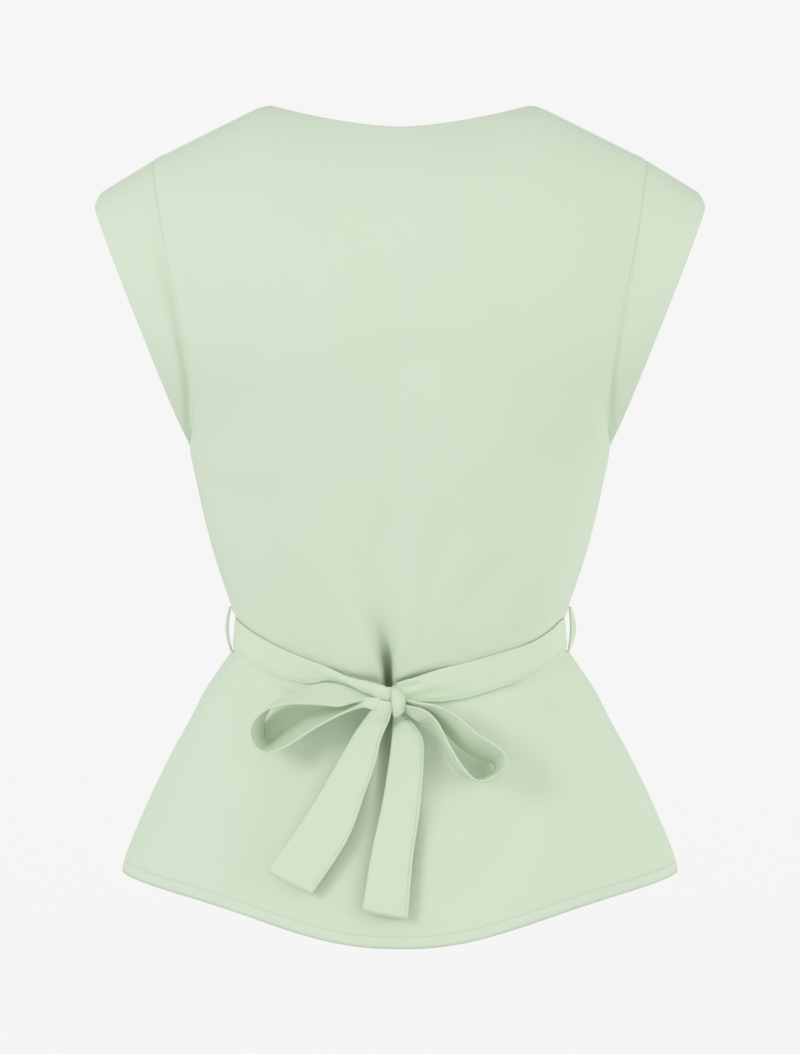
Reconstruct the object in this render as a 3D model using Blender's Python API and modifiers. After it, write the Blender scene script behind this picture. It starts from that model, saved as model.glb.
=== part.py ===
# Sleeveless top with a tie belt, worn and filled out, seen from its back.
# Frame: +Z up, -Y is the garment's back, +X its wearer's right, origin between the two neck points.
# Sizes below are in millimetres and become metres when a mesh is made.

import math

import bmesh
import bpy

MM = 0.001

# Cloth
WALL = 1.4            # crepe with its seam allowances
TIE_WALL = 1.6        # tie belt, two layers
SEAM = 0.3            # clear space between two sewn pieces
SIDE_GAP = 0.33       # each panel stands this far off the side plane, so the inner edges stay apart
CLOTH_COLOUR = (0.665, 0.760, 0.617)
TIE_COLOUR = (0.638, 0.752, 0.584)
CLOTH_ROUGHNESS = 0.85

# Shoulder and neck
NECK_X = 91.0         # neck point from the centre line
NECK_Z = -1.9
SHOULDER_SLOPE = 0.4946
SHOULDER_START_X = 96.0
SHOULDER_EASE = 2.5   # how softly the shoulder line leaves the neck point
NAPE_Z = -17.0        # centre back neck
NAPE_POWER = 1.6
V_NECK_Z = -150.0     # point of the front neck
V_NECK_POWER = 0.92
ROLL = 160.0          # height over which the cloth turns from the shoulder line to upright
BODY_POWER = 0.85     # below 1 makes a section squarer than an ellipse
HEM_POWER = 1.35      # above 1 makes it flatter towards the side seams

# Armhole, a U in side view
ARMHOLE_TOP_X = 172.8
UNDERARM_Z = -241.4
ARMHOLE_REACH = 71.0  # half of its width
ARMHOLE_TURN_Z = -156.0

# Waist and hem
HEM_Z = -549.0
WAIST_TOP_Z = -363.5
WAIST_END_Z = -388.6
FRONT_TIE_DROP = 5.0  # the belt sits lower at the centre than at the sides
BACK_HEM_DROP = 27.0
FRONT_HEM_DROP = 8.0
HEM_NARROWING = 2.81  # the hem's dip is exp(-(narrowing * across) ** power)
HEM_DIP_POWER = 2.15

BACK = -1.0
FRONT = 1.0

# Half width and depths of the body at heights measured on the side seam.
PROFILE_COLUMNS = ("height", "half_width", "back_depth", "front_depth")
PROFILE = (
    (0.0, 181.5, 104.0, 108.0),
    (-40.9, 172.8, 106.0, 110.0),
    (-70.8, 167.4, 107.0, 111.0),
    (-101.5, 161.9, 108.0, 112.0),
    (-128.7, 155.6, 108.5, 113.0),
    (-156.0, 149.6, 109.0, 114.0),
    (-183.9, 145.2, 109.0, 114.5),
    (-206.0, 143.6, 108.5, 114.0),
    (-229.0, 145.8, 107.5, 113.0),
    (-241.4, 148.5, 107.0, 112.5),
    (-266.0, 144.4, 105.0, 110.5),
    (-299.0, 137.2, 101.0, 106.0),
    (-320.0, 131.6, 98.0, 102.0),
    (-342.0, 124.6, 93.5, 96.0),
    (-354.0, 120.6, 90.0, 91.5),
    (-360.0, 119.0, 88.2, 89.0),
    (-363.5, 115.8, 85.2, 85.9),
    (-376.0, 116.8, 85.2, 85.9),
    (-388.6, 118.4, 85.4, 86.2),
    (-391.5, 121.4, 87.0, 87.8),
    (-397.0, 125.4, 89.6, 90.4),
    (-404.0, 130.2, 93.0, 93.8),
    (-417.5, 139.2, 99.0, 100.0),
    (-439.0, 150.3, 105.5, 106.5),
    (-461.0, 162.6, 112.0, 113.0),
    (-483.0, 173.6, 118.0, 119.0),
    (-505.0, 183.8, 123.0, 124.0),
    (-527.0, 193.3, 127.5, 128.5),
    (-540.0, 198.0, 129.5, 130.5),
    (-549.0, 199.6, 131.0, 132.0),
)

# How far the back dips at the belt's top edge, against the share of the way round, minus on the left: the tie
# runs down to the knot, more steeply on the left.
TIE_LINE_COLUMNS = ("across", "drop")
TIE_LINE = (
    (-1.0, 0.0),
    (-0.835, 1.4),
    (-0.686, 5.9),
    (-0.455, 16.3),
    (-0.299, 24.0),
    (-0.199, 30.2),
    (-0.10, 35.0),
    (-0.03, 36.5),
    (0.04, 31.5),
    (0.144, 25.8),
    (0.272, 21.2),
    (0.372, 17.4),
    (0.574, 10.9),
    (0.726, 4.6),
    (0.85, 0.4),
    (1.0, 0.0),
)

# The gather of the back: a soft hollow that wanders left of the centre, becomes a sharp fold at the knot and
# opens out below it.
FOLD_COLUMNS = ("height", "centre", "depth", "spread")
FOLD = (
    (-113.0, 0.0, 0.0, 40.0),
    (-150.0, -9.0, 0.8, 36.0),
    (-201.0, -20.0, 2.2, 32.0),
    (-256.0, -28.0, 3.4, 27.0),
    (-297.0, -28.0, 4.6, 21.0),
    (-320.0, -19.0, 7.0, 12.5),
    (-338.0, -11.0, 12.0, 7.4),
    (-352.0, -8.5, 17.0, 5.4),
    (-363.5, -8.0, 20.0, 4.6),
    (-388.6, -7.4, 20.0, 4.6),
    (-400.0, -6.5, 15.0, 5.5),
    (-424.0, -5.0, 9.0, 8.0),
    (-450.0, -4.0, 6.0, 12.0),
    (-490.0, -4.0, 3.5, 20.0),
    (-549.0, -4.0, 2.0, 28.0),
)
GATHER_ACROSS = -0.044  # share of the way round at which the gather meets the belt

# Soft swells of cloth on both sides of the gather, above and below the belt.
SWELL_COLUMNS = ("height", "lift")
SWELL = (
    (-290.0, 0.0),
    (-330.0, 1.5),
    (-350.0, 3.0),
    (-359.0, 2.5),
    (-363.5, 0.0),
    (-388.6, 0.0),
    (-396.0, 2.0),
    (-410.0, 3.5),
    (-450.0, 2.0),
    (-549.0, 1.0),
)
SWELL_X = 15.0
SWELL_SPREAD = 12.0

# Share of the way down from the top edge to the underarm, one row of points each.
ARMHOLE_ROWS = (0.0, 0.012, 0.048, 0.106, 0.187, 0.288, 0.404, 0.53, 0.65, 0.76, 0.85, 0.925, 0.985, 1.0)

# Heights on the side seam, one row of points each.
SIDE_ROWS = (-266.0, -290.0, -312.0, -332.0, -346.0, -355.0, -360.0, -363.5, -370.0, -379.0, -388.6,
             -391.5, -397.0, -404.0, -416.0, -434.0, -456.0, -480.0, -504.0, -527.0, -540.0, -549.0)

# Share of the way round from the centre line to the side, one column of points each.
BACK_COLUMNS = (0.009, 0.019, 0.031, 0.046, 0.068, 0.1, 0.15, 0.22, 0.30, 0.38, 0.4575, 0.54, 0.63,
                0.72, 0.81, 0.905, 1.0)
FRONT_COLUMNS = (0.06, 0.13, 0.21, 0.29, 0.375, 0.4575, 0.54, 0.63, 0.72, 0.81, 0.905, 1.0)

# Caps
CAP_TOP_Z = -62.0
CAP_TIP_X = 212.5
CAP_TIP_Z = -73.6
CAP_TIP_ROUND = 3.6
CAP_REACH = 58.0      # half of the opening, front to back
CAP_REACH_POWER = 0.9
CAP_EDGE_IN = 0.8     # the free edge's line meets the underarm this far inside the side seam
CAP_EDGE_BOW = 1.2    # and bows in this far half way down
CAP_END_WIDTH = 1.5   # what is left of the cap at the underarm
CAP_END_SHARE = 0.9   # share of the seam's length from which it narrows to that
CAP_ACROSS = (0.0, 0.11, 0.25, 0.42, 0.64, 0.84, 1.0)
CAP_VALLEY = 5.0
CAP_VALLEY_PLACE = 0.32
CAP_VALLEY_SPREAD = 0.17
CAP_CROWN = 2.5
CAP_FULL_SHARE = 0.75   # valley and crown grow down to this share of the seam's length
CAP_FADE_SHARE = 0.8    # and fade from this one to the underarm
CAP_SEAM_GAP = 0.6
CAP_AXIS_Z = -150.0
CAP_INSIDE = 0.97       # share of the way round that gives the panel's direction at the seam


def column(table, names, name):
    """One named column of a table against its first one."""
    place = names.index(name)
    return [(row[0], row[place]) for row in table]


def smooth_read(pairs, at):
    """Read a column at a height with a smooth curve that never overshoots its rows."""
    pairs = sorted(pairs)
    if at <= pairs[0][0]:
        return pairs[0][1]
    if at >= pairs[-1][0]:
        return pairs[-1][1]
    slopes = [(b[1] - a[1]) / (b[0] - a[0]) for a, b in zip(pairs, pairs[1:])]
    i = max(k for k, pair in enumerate(pairs) if pair[0] <= at)

    def tangent(k):
        if k == 0:
            return slopes[0]
        if k == len(pairs) - 1:
            return slopes[-1]
        if slopes[k - 1] * slopes[k] <= 0.0:
            return 0.0
        return 2.0 * slopes[k - 1] * slopes[k] / (slopes[k - 1] + slopes[k])

    step = pairs[i + 1][0] - pairs[i][0]
    t = (at - pairs[i][0]) / step
    return ((2 * t**3 - 3 * t**2 + 1) * pairs[i][1] + (t**3 - 2 * t**2 + t) * step * tangent(i)
            + (3 * t**2 - 2 * t**3) * pairs[i + 1][1] + (t**3 - t**2) * step * tangent(i + 1))


HALF_WIDTH = column(PROFILE, PROFILE_COLUMNS, "half_width")
DEPTHS = {
    BACK: column(PROFILE, PROFILE_COLUMNS, "back_depth"),
    FRONT: column(PROFILE, PROFILE_COLUMNS, "front_depth"),
}
TIE_DROP = column(TIE_LINE, TIE_LINE_COLUMNS, "drop")
FOLD_CENTRE = column(FOLD, FOLD_COLUMNS, "centre")
FOLD_DEPTH = column(FOLD, FOLD_COLUMNS, "depth")
FOLD_SPREAD = column(FOLD, FOLD_COLUMNS, "spread")
SWELL_LIFT = column(SWELL, SWELL_COLUMNS, "lift")


def ease(t):
    t = min(max(t, 0.0), 1.0)
    return t * t * (3.0 - 2.0 * t)


def shoulder_z(x):
    """Height of the shoulder line, level inside the neck point and sloping evenly outside it."""
    run = (abs(x) - SHOULDER_START_X) / SHOULDER_EASE
    return NECK_Z - SHOULDER_SLOPE * SHOULDER_EASE * math.log1p(math.exp(min(run, 60.0)))


def top_edge_z(side, x):
    """Height of the neck edge, and of the shoulder line beyond the neck point."""
    share = abs(x) / NECK_X
    if side == BACK:
        neck = NAPE_Z + (NECK_Z - NAPE_Z) * share**NAPE_POWER
    else:
        neck = V_NECK_Z + (NECK_Z - V_NECK_Z) * share**V_NECK_POWER
    return min(neck, shoulder_z(x))


def armhole_y(z):
    """Distance of the armhole seam from the side plane, before the roll over the shoulder."""
    if z > ARMHOLE_TURN_Z:
        return ARMHOLE_REACH
    share = (ARMHOLE_TURN_Z - z) / (ARMHOLE_TURN_Z - UNDERARM_Z)
    return ARMHOLE_REACH * math.sqrt(max(1.0 - share * share, 0.0))


def roll(below):
    """Share of the full depth reached at a distance below the shoulder line: a quarter of an ellipse."""
    share = min(max(below, 0.0), ROLL) / ROLL
    return math.sqrt(1.0 - (1.0 - share)**2)


def to_hem(height):
    """0 down to the belt's lower edge, 1 at the hem."""
    return ease((WAIST_END_Z - height) / (WAIST_END_Z - HEM_Z))


def section(side, across, height):
    """Point on the section at a height: across runs from -1 to 1 between the two armholes or side seams."""
    width = smooth_read(HALF_WIDTH, height)
    depth = smooth_read(DEPTHS[side], height)
    power = BODY_POWER + (HEM_POWER - BODY_POWER) * to_hem(height)
    if height > UNDERARM_Z:
        turn = math.acos((armhole_y(height) / depth)**(1.0 / power))
    else:
        turn = math.pi / 2
    x = width * math.sin(across * turn) / math.sin(turn)
    y = depth * max(math.cos(across * turn), 0.0)**power
    return x, y


def drop(side, across, height):
    """How far a row dips: along the tie's line at the waist, round at the hem."""
    if side == BACK:
        at_tie, hem = smooth_read(TIE_DROP, across), BACK_HEM_DROP
    else:
        at_tie, hem = FRONT_TIE_DROP * math.cos(across * math.pi / 2)**2, FRONT_HEM_DROP
    to_waist = ease((UNDERARM_Z - height) / (UNDERARM_Z - WAIST_TOP_Z))
    at_hem = hem * math.exp(-abs(across * HEM_NARROWING)**HEM_DIP_POWER)
    return at_tie * to_waist * (1.0 - to_hem(height)) + at_hem * to_hem(height)


def upper_point(side, across, share):
    """Point between the top edge and the underarm level."""
    x = across * ARMHOLE_TOP_X
    for _ in range(6):
        z = top_edge_z(side, x) * (1.0 - share) + UNDERARM_Z * share
        x, y = section(side, across, z)
    return x, side * (y * roll(shoulder_z(x) - z) + SIDE_GAP), z


def lower_point(side, across, height):
    """Point below the underarm, at a height measured on the side seam."""
    x, y = section(side, across, height)
    return x, side * (y + SIDE_GAP), height - drop(side, across, height)


def gathered(point, height):
    """A back point pushed in by the gather and out by the swells beside it."""
    x, y, z = point
    aside = x - smooth_read(FOLD_CENTRE, height)
    hollow = math.exp(-(aside / smooth_read(FOLD_SPREAD, height))**2)
    swell = math.exp(-((abs(aside) - SWELL_X) / SWELL_SPREAD)**2) * (1.0 - hollow)
    y += smooth_read(FOLD_DEPTH, height) * hollow - smooth_read(SWELL_LIFT, height) * swell
    return x, y, z


def on_back(x, z):
    """Depth of the plain back under a place given by x and z below the underarm."""
    height = z
    for _ in range(12):
        across = math.asin(max(min(x / smooth_read(HALF_WIDTH, height), 1.0), -1.0)) / (math.pi / 2)
        height = z + drop(BACK, across, height)
    return BACK * (section(BACK, across, height)[1] + SIDE_GAP)


def back_steps():
    """Columns of the back, closest together at the gather."""
    steps = [-share for share in reversed(BACK_COLUMNS)] + [0.0] + list(BACK_COLUMNS)
    return [share + GATHER_ACROSS * (1.0 - share * share) for share in steps]


def front_steps():
    """Columns of the front, from its +X side to its -X side."""
    return list(reversed(FRONT_COLUMNS)) + [0.0] + [-share for share in FRONT_COLUMNS]


def panel_rows(side, steps):
    """Grid of points of a whole panel, from its top edge down to its hem."""
    rows = []
    for share in ARMHOLE_ROWS:
        rows.append([upper_point(side, across, share) for across in steps])
    for height in SIDE_ROWS:
        rows.append([lower_point(side, across, height) for across in steps])
    return rows


def cloth(name, colour):
    material = bpy.data.materials.new(name + "_cloth")
    material.use_nodes = True
    shader = material.node_tree.nodes["Principled BSDF"]
    shader.inputs["Base Color"].default_value = (*colour, 1.0)
    shader.inputs["Roughness"].default_value = CLOTH_ROUGHNESS
    shader.inputs["Metallic"].default_value = 0.0
    return material


def place(mesh, name, colour):
    """Put a mesh in the garment's collection under its own name and cloth."""
    item = bpy.data.objects.new(name, mesh)
    garment.objects.link(item)
    item.parent = wearer
    mesh.materials.append(cloth(name, colour))
    mesh.shade_smooth()
    return item


def sewn_sheet(name, rows, wall, colour, outward=-1.0):
    """An open grid of points given its thickness: inward, outward or half each way."""
    wide = len(rows[0])
    points = [(x * MM, y * MM, z * MM) for row in rows for x, y, z in row]
    faces = [(i * wide + j, (i + 1) * wide + j, (i + 1) * wide + j + 1, i * wide + j + 1)
             for i in range(len(rows) - 1) for j in range(wide - 1)]
    mesh = bpy.data.meshes.new(name)
    mesh.from_pydata(points, [], faces)
    mesh.update()
    item = place(mesh, name, colour)
    thicken = item.modifiers.new("Wall", "SOLIDIFY")
    thicken.thickness = wall * MM
    thicken.offset = outward
    thicken.use_even_offset = False
    return item


def back_panel():
    rows = panel_rows(BACK, back_steps())
    heights = [None] * len(ARMHOLE_ROWS) + list(SIDE_ROWS)
    shaped = []
    for row, height in zip(rows, heights):
        shaped.append([gathered(p, p[2] if height is None else height) for p in row])
    sewn_sheet("back_panel", shaped, WALL, CLOTH_COLOUR)


def front_panel():
    sewn_sheet("front_panel", panel_rows(FRONT, front_steps()), WALL, CLOTH_COLOUR)


def spaced(points):
    """Share of the whole length at each point of a path."""
    runs = [0.0]
    for a, b in zip(points, points[1:]):
        runs.append(runs[-1] + math.dist(a, b))
    return [run / runs[-1] for run in runs]


def cap_edge(side):
    """Path of the cap's free edge, from the shoulder to the underarm, half of a flat oval in side view."""
    end_x = smooth_read(HALF_WIDTH, UNDERARM_Z) - CAP_EDGE_IN
    count = 60
    path = []
    for k in range(count + 1):
        turn = math.pi * k / count
        z = CAP_TOP_Z + (UNDERARM_Z - CAP_TOP_Z) * (1.0 - math.cos(turn)) / 2
        down = max((CAP_TIP_Z - z) / (CAP_TIP_Z - UNDERARM_Z), 0.0)
        above = max((z - CAP_TIP_Z) / (CAP_TOP_Z - CAP_TIP_Z), 0.0)
        x = CAP_TIP_X + (end_x - CAP_TIP_X) * down - CAP_EDGE_BOW * math.sin(math.pi * down)
        path.append((x - CAP_TIP_ROUND * above**2, side * CAP_REACH * math.sin(turn)**CAP_REACH_POWER, z))
    return path


def along(path, share):
    """Point at a share of a path's whole length."""
    shares = spaced(path)
    i = min(max(k for k, s in enumerate(shares) if s <= share), len(path) - 2)
    t = (share - shares[i]) / (shares[i + 1] - shares[i])
    return tuple(a + (b - a) * t for a, b in zip(path[i], path[i + 1]))


def cap_half(side):
    """Stations of one half of the right cap, from the shoulder to the underarm."""
    seam = [upper_point(side, 1.0, share) for share in ARMHOLE_ROWS]
    edge = cap_edge(side)
    stations = []
    for start, share, row in zip(seam, spaced(seam), ARMHOLE_ROWS):
        inner = upper_point(side, CAP_INSIDE, row)
        stretch = CAP_SEAM_GAP / math.dist(inner, start)
        sx, sy, sz = (a + (a - b) * stretch for a, b in zip(start, inner))
        ox, oy, oz = along(edge, share)
        ox += (sx + CAP_END_WIDTH - ox) * ease((share - CAP_END_SHARE) / (1.0 - CAP_END_SHARE))
        out = math.hypot(sy, sz - CAP_AXIS_Z)
        grown = math.sin(math.pi / 2 * min(share / CAP_FULL_SHARE, 1.0))
        low = grown * (1.0 - ease((share - CAP_FADE_SHARE) / (1.0 - CAP_FADE_SHARE)))
        station = []
        for c in CAP_ACROSS:
            valley = CAP_VALLEY * low * math.exp(-((c - CAP_VALLEY_PLACE) / CAP_VALLEY_SPREAD)**2)
            crown = CAP_CROWN * low * math.sin(math.pi * c)
            off = (crown - valley) * min(c / CAP_ACROSS[1], 1.0) / out
            x = sx + (ox - sx) * c
            y = sy + (oy - sy) * c + off * sy
            z = sz + (oz - sz) * c + off * (sz - CAP_AXIS_Z)
            station.append((x, side * max(side * y, SIDE_GAP), z))
        stations.append(station)
    return stations


def caps():
    back_half = cap_half(BACK)
    front_half = cap_half(FRONT)
    crown = [(x, 0.0, z) for x, y, z in back_half[0]]
    rows = list(reversed(front_half[1:])) + [crown] + back_half[1:]
    sewn_sheet("cap_right", rows, WALL, CLOTH_COLOUR)
    mirrored = [[(-x, y, z) for x, y, z in row] for row in reversed(rows)]
    sewn_sheet("cap_left", mirrored, WALL, CLOTH_COLOUR)


# Belt round the waist. Its top edge is the tie's line. The bottom is a height on the side seam, and lift is how
# far the belt leaves the body to reach the knot, both against the share of the way round from the centre.
BELT_COLUMNS = ("across", "top", "bottom", "lift")
BELT_RIGHT = (
    (0.031, -363.5, -379.0, 7.0),
    (0.058, -363.5, -380.8, 5.4),
    (0.1, -363.5, -383.6, 3.5),
    (0.168, -363.5, -387.0, 1.2),
    (0.273, -363.5, -388.3, 0.1),
    (0.41, -363.5, -387.6, 0.0),
    (0.55, -363.5, -385.6, 0.0),
    (1.0, -363.5, -385.0, 0.0),
)
BELT_LEFT = (
    (0.046, -362.6, -373.8, 14.0),
    (0.073, -361.8, -371.6, 15.0),
    (0.117, -361.2, -370.0, 12.5),
    (0.165, -363.0, -370.0, 8.0),
    (0.207, -363.5, -370.5, 4.6),
    (0.25, -363.5, -371.5, 2.2),
    (0.299, -363.5, -374.8, 0.4),
    (0.339, -363.5, -378.8, 0.0),
    (0.395, -363.5, -381.8, 0.0),
    (0.538, -363.5, -384.2, 0.0),
    (1.0, -363.5, -385.0, 0.0),
)
BELT_FRONT_TOP = -363.5
BELT_FRONT_BOTTOM = -388.0
BELT_FRONT_FULL = 0.7    # share of the way round from which the front stretch narrows to the side's width
BELT_ROWS = (0.0, 0.5, 1.0)
BELT_NEARBY = 0.01       # step in the share of the way round that gives the belt's direction


def belt_station(side, across, top, bottom, lift):
    """A short column of points of the belt, on the plain body moved out by the wall and the clearance."""
    station = []
    for share in BELT_ROWS:
        height = top + (bottom - top) * share
        x, y, z = lower_point(side, across, height)
        if abs(across) == 1.0:
            nx, ny = across, 0.0
        else:
            x1, y1, _ = lower_point(side, across - BELT_NEARBY, height)
            x2, y2, _ = lower_point(side, across + BELT_NEARBY, height)
            run = math.hypot(x2 - x1, y2 - y1)
            nx, ny = -side * (y2 - y1) / run, side * (x2 - x1) / run
        out = SEAM + TIE_WALL + lift
        station.append((x + nx * out, y + ny * out, z))
    return station


def belt_stations(table, steps):
    """Stations of the belt on the back at shares of the way round, all on one side of the knot."""
    top, bottom, lift = (column(table, BELT_COLUMNS, name) for name in ("top", "bottom", "lift"))
    return [belt_station(BACK, across, *(smooth_read(read, abs(across)) for read in (top, bottom, lift)))
            for across in steps]


def belt_band():
    """One strip from the knot's right, through the loops and across the front, to the knot's left."""
    start, end = BELT_RIGHT[0][0], BELT_LEFT[0][0]
    stations = belt_stations(BELT_RIGHT, [start] + [a for a in back_steps() if a > start])
    for across in front_steps()[1:-1]:
        side_share = ease((abs(across) - BELT_FRONT_FULL) / (1.0 - BELT_FRONT_FULL))
        bottom = BELT_FRONT_BOTTOM + (BELT_RIGHT[-1][2] - BELT_FRONT_BOTTOM) * side_share
        stations.append(belt_station(FRONT, across, BELT_FRONT_TOP, bottom, 0.0))
    stations += belt_stations(BELT_LEFT, [a for a in back_steps() if a < -end] + [-end])
    rows = [[station[i] for station in stations] for i in range(len(BELT_ROWS))]
    sewn_sheet("belt_band", rows, TIE_WALL, TIE_COLOUR)


# Bow. Each row is a station along a strand: its edge towards the viewer and its edge by the cloth.
LOOP_COLUMNS = ("near_x", "near_y", "near_z", "far_x", "far_y", "far_z")
LOOP_LEFT = (
    (-10.5, -98.5, -413.0, -10.5, -94.5, -411.5),
    (-21.0, -100.0, -410.0, -21.0, -93.0, -407.0),
    (-31.0, -107.0, -410.3, -31.5, -92.5, -403.3),
    (-42.0, -113.0, -410.5, -41.5, -91.5, -399.5),
    (-55.5, -115.0, -409.0, -55.0, -91.0, -398.5),
    (-74.5, -114.5, -408.5, -71.5, -88.5, -404.5),
    (-90.5, -111.0, -412.5, -87.0, -82.5, -413.5),
    (-100.5, -107.5, -421.5, -93.5, -78.5, -423.0),
    (-103.0, -106.0, -431.5, -95.0, -77.0, -432.0),
    (-99.0, -106.5, -439.5, -94.0, -77.0, -439.0),
    (-90.0, -108.0, -443.0, -88.5, -79.0, -439.5),
    (-75.0, -111.0, -437.0, -77.0, -83.5, -430.5),
    (-57.0, -113.0, -425.0, -59.5, -89.0, -419.0),
    (-40.5, -111.5, -417.0, -41.0, -94.0, -415.0),
    (-25.5, -103.2, -414.8, -26.0, -97.5, -413.5),
    (-11.5, -99.5, -417.0, -11.5, -97.0, -415.0),
)
LOOP_RIGHT = (
    (5.4, -100.0, -408.0, 5.4, -95.0, -410.5),
    (14.5, -107.0, -409.5, 14.0, -97.0, -416.5),
    (25.0, -112.0, -410.5, 22.5, -96.5, -422.0),
    (38.0, -117.0, -416.0, 30.0, -96.0, -433.5),
    (52.0, -119.0, -427.5, 39.5, -96.0, -449.0),
    (65.0, -118.5, -436.0, 50.0, -95.5, -456.5),
    (72.0, -116.0, -443.5, 57.5, -95.0, -456.5),
    (72.0, -114.5, -451.0, 58.5, -95.0, -460.0),
    (64.5, -114.0, -458.0, 55.5, -95.0, -462.0),
    (53.0, -115.0, -460.5, 48.5, -95.0, -462.0),
    (42.5, -117.0, -450.0, 39.0, -95.5, -456.0),
    (32.5, -116.0, -434.0, 29.0, -96.0, -439.5),
    (25.0, -113.5, -420.5, 21.5, -96.5, -427.0),
    (16.0, -109.0, -413.5, 12.0, -98.0, -422.5),
    (5.4, -101.5, -412.5, 5.6, -97.5, -417.0),
)
TAIL_COLUMNS = ("left_x", "left_z", "right_x", "right_z", "left_lift", "right_lift")
TAIL_LEFT = (
    (-15.5, -410.0, -7.8, -415.0, 20.0, 20.0),
    (-24.0, -421.0, -8.2, -423.5, 16.8, 16.8),
    (-31.0, -431.0, -11.5, -437.0, 13.0, 13.5),
    (-41.0, -448.0, -15.0, -449.5, 10.0, 10.5),
    (-55.5, -473.0, -23.0, -470.5, 7.0, 9.0),
    (-70.5, -496.5, -36.0, -501.5, 5.5, 7.5),
    (-91.5, -526.5, -60.5, -539.0, 5.0, 7.0),
)
TAIL_RIGHT = (
    (-5.2, -421.5, 4.0, -421.5, 6.2, 6.6),
    (-6.2, -433.0, 12.0, -428.3, 8.0, 10.0),
    (-7.6, -444.0, 16.4, -437.8, 7.0, 10.0),
    (-9.9, -460.0, 15.8, -456.5, 6.0, 9.0),
    (-14.1, -480.0, 12.9, -483.8, 5.5, 7.5),
    (-20.6, -511.0, 8.5, -515.0, 5.0, 6.5),
    (-26.1, -548.7, 5.1, -554.8, 5.0, 6.0),
)
STRAND_CLEAR = 4.5    # least distance of a strand's middle from the plain back
TAIL_CURL = 1.2
KNOT_CENTRE = (-1.4, -96.5, -409.6)
KNOT_HALF = (5.7, 8.6, 11.3)
KNOT_LEAN = math.radians(8.0)
KNOT_SQUARE = 0.8

# Belt loops, a narrow strap standing off each side seam
STRAP_TOP_Z = -357.5
STRAP_END_Z = -391.5
STRAP_STANDS = 1.7      # how far its middle bows out
STRAP_CLEAR = 1.5       # its middle line from the side seam at both ends
STRAP_WIDTH = 4.5
STRAP_WALL = 2.0
STRAP_STEPS = 10
STRAP_TURNS = {"belt_loop_left": math.radians(12.0), "belt_loop_right": math.radians(45.0)}


def smooth_rows(table, per_step):
    """A table's rows read more closely along its length."""
    columns = [list(enumerate(values)) for values in zip(*table)]
    count = (len(table) - 1) * per_step
    return [[smooth_read(column_here, i / per_step) for column_here in columns] for i in range(count + 1)]


def loop(name, table):
    """A bow loop: a strip ruled between its two edges, kept clear of the back."""
    rows = []
    for nx, ny, nz, fx, fy, fz in smooth_rows(table, 2):
        push = min(0.0, on_back(fx, fz) - STRAND_CLEAR - fy)
        near, far = (nx, ny + push, nz), (fx, fy + push, fz)
        rows.append([tuple(a + (b - a) * c for a, b in zip(near, far)) for c in (0.0, 0.35, 0.7, 1.0)])
    sewn_sheet(name, rows, TIE_WALL, TIE_COLOUR, 0.0)


def tail(name, table):
    """A free end of the tie, hanging in front of the back and a little curled across."""
    rows = []
    for lx, lz, rx, rz, left_lift, right_lift in smooth_rows(table, 3):
        row = []
        for c in (0.0, 0.2, 0.5, 0.8, 1.0):
            x = lx + (rx - lx) * c
            z = lz + (rz - lz) * c
            lift = left_lift + (right_lift - left_lift) * c + TAIL_CURL * math.sin(math.pi * c)
            row.append((x, on_back(x, z) - lift, z))
        rows.append(row)
    sewn_sheet(name, rows, TIE_WALL, TIE_COLOUR, 0.0)


def knot():
    bm = bmesh.new()
    bmesh.ops.create_uvsphere(bm, u_segments=16, v_segments=10, radius=1.0)
    for vertex in bm.verts:
        place_in = [math.copysign(abs(v)**KNOT_SQUARE, v) * half for v, half in zip(vertex.co, KNOT_HALF)]
        x, y, z = place_in
        x, z = (x * math.cos(KNOT_LEAN) - z * math.sin(KNOT_LEAN),
                x * math.sin(KNOT_LEAN) + z * math.cos(KNOT_LEAN))
        vertex.co = [(a + b) * MM for a, b in zip((x, y, z), KNOT_CENTRE)]
    mesh = bpy.data.meshes.new("bow_knot")
    bm.to_mesh(mesh)
    bm.free()
    place(mesh, "bow_knot", TIE_COLOUR)


def belt_loop(name, side):
    """A strap that bows out from the side seam and turns a little towards the back half way down."""
    top_x, end_x = (smooth_read(HALF_WIDTH, z) + STRAP_CLEAR for z in (STRAP_TOP_Z, STRAP_END_Z))
    rows = []
    for k in range(STRAP_STEPS + 1):
        down = k / STRAP_STEPS
        bow = math.sin(math.pi * down)
        x = top_x + (end_x - top_x) * down + STRAP_STANDS * bow
        z = STRAP_TOP_Z + (STRAP_END_Z - STRAP_TOP_Z) * down
        turn = STRAP_TURNS[name] * bow
        wide, deep = STRAP_WIDTH / 2 * math.sin(turn), STRAP_WIDTH / 2 * math.cos(turn)
        edges = [(side * (x + wide), -deep, z), (side * (x - wide), deep, z)]
        rows.append(edges if side > 0 else list(reversed(edges)))
    sewn_sheet(name, rows, STRAP_WALL, CLOTH_COLOUR, 0.0)


for item in list(bpy.data.objects):
    bpy.data.objects.remove(item, do_unlink=True)
garment = bpy.data.collections.new("sleeveless_top")
bpy.context.scene.collection.children.link(garment)
wearer = bpy.data.objects.new("wearer_shoulders", None)
garment.objects.link(wearer)

back_panel()
front_panel()
caps()
belt_band()
loop("bow_loop_left", LOOP_LEFT)
loop("bow_loop_right", LOOP_RIGHT)
tail("bow_tail_left", TAIL_LEFT)
tail("bow_tail_right", TAIL_RIGHT)
knot()
belt_loop("belt_loop_left", -1.0)
belt_loop("belt_loop_right", 1.0)
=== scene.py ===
# %% [markdown]
# # A sleeveless top in pale mint crepe, tied at the back
# The garment is shown from behind, filled out as if worn, and hollow. It has a back and a front cut in one
# from shoulder to hem, two short shaped caps, and a tie belt that draws the waist in and ends in a bow. The
# fixed frame already holds each piece at its real size. Here every piece gets a finer surface on the same
# form, with the folds, seams and stitches that the frame is too coarse to carry.

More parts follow.
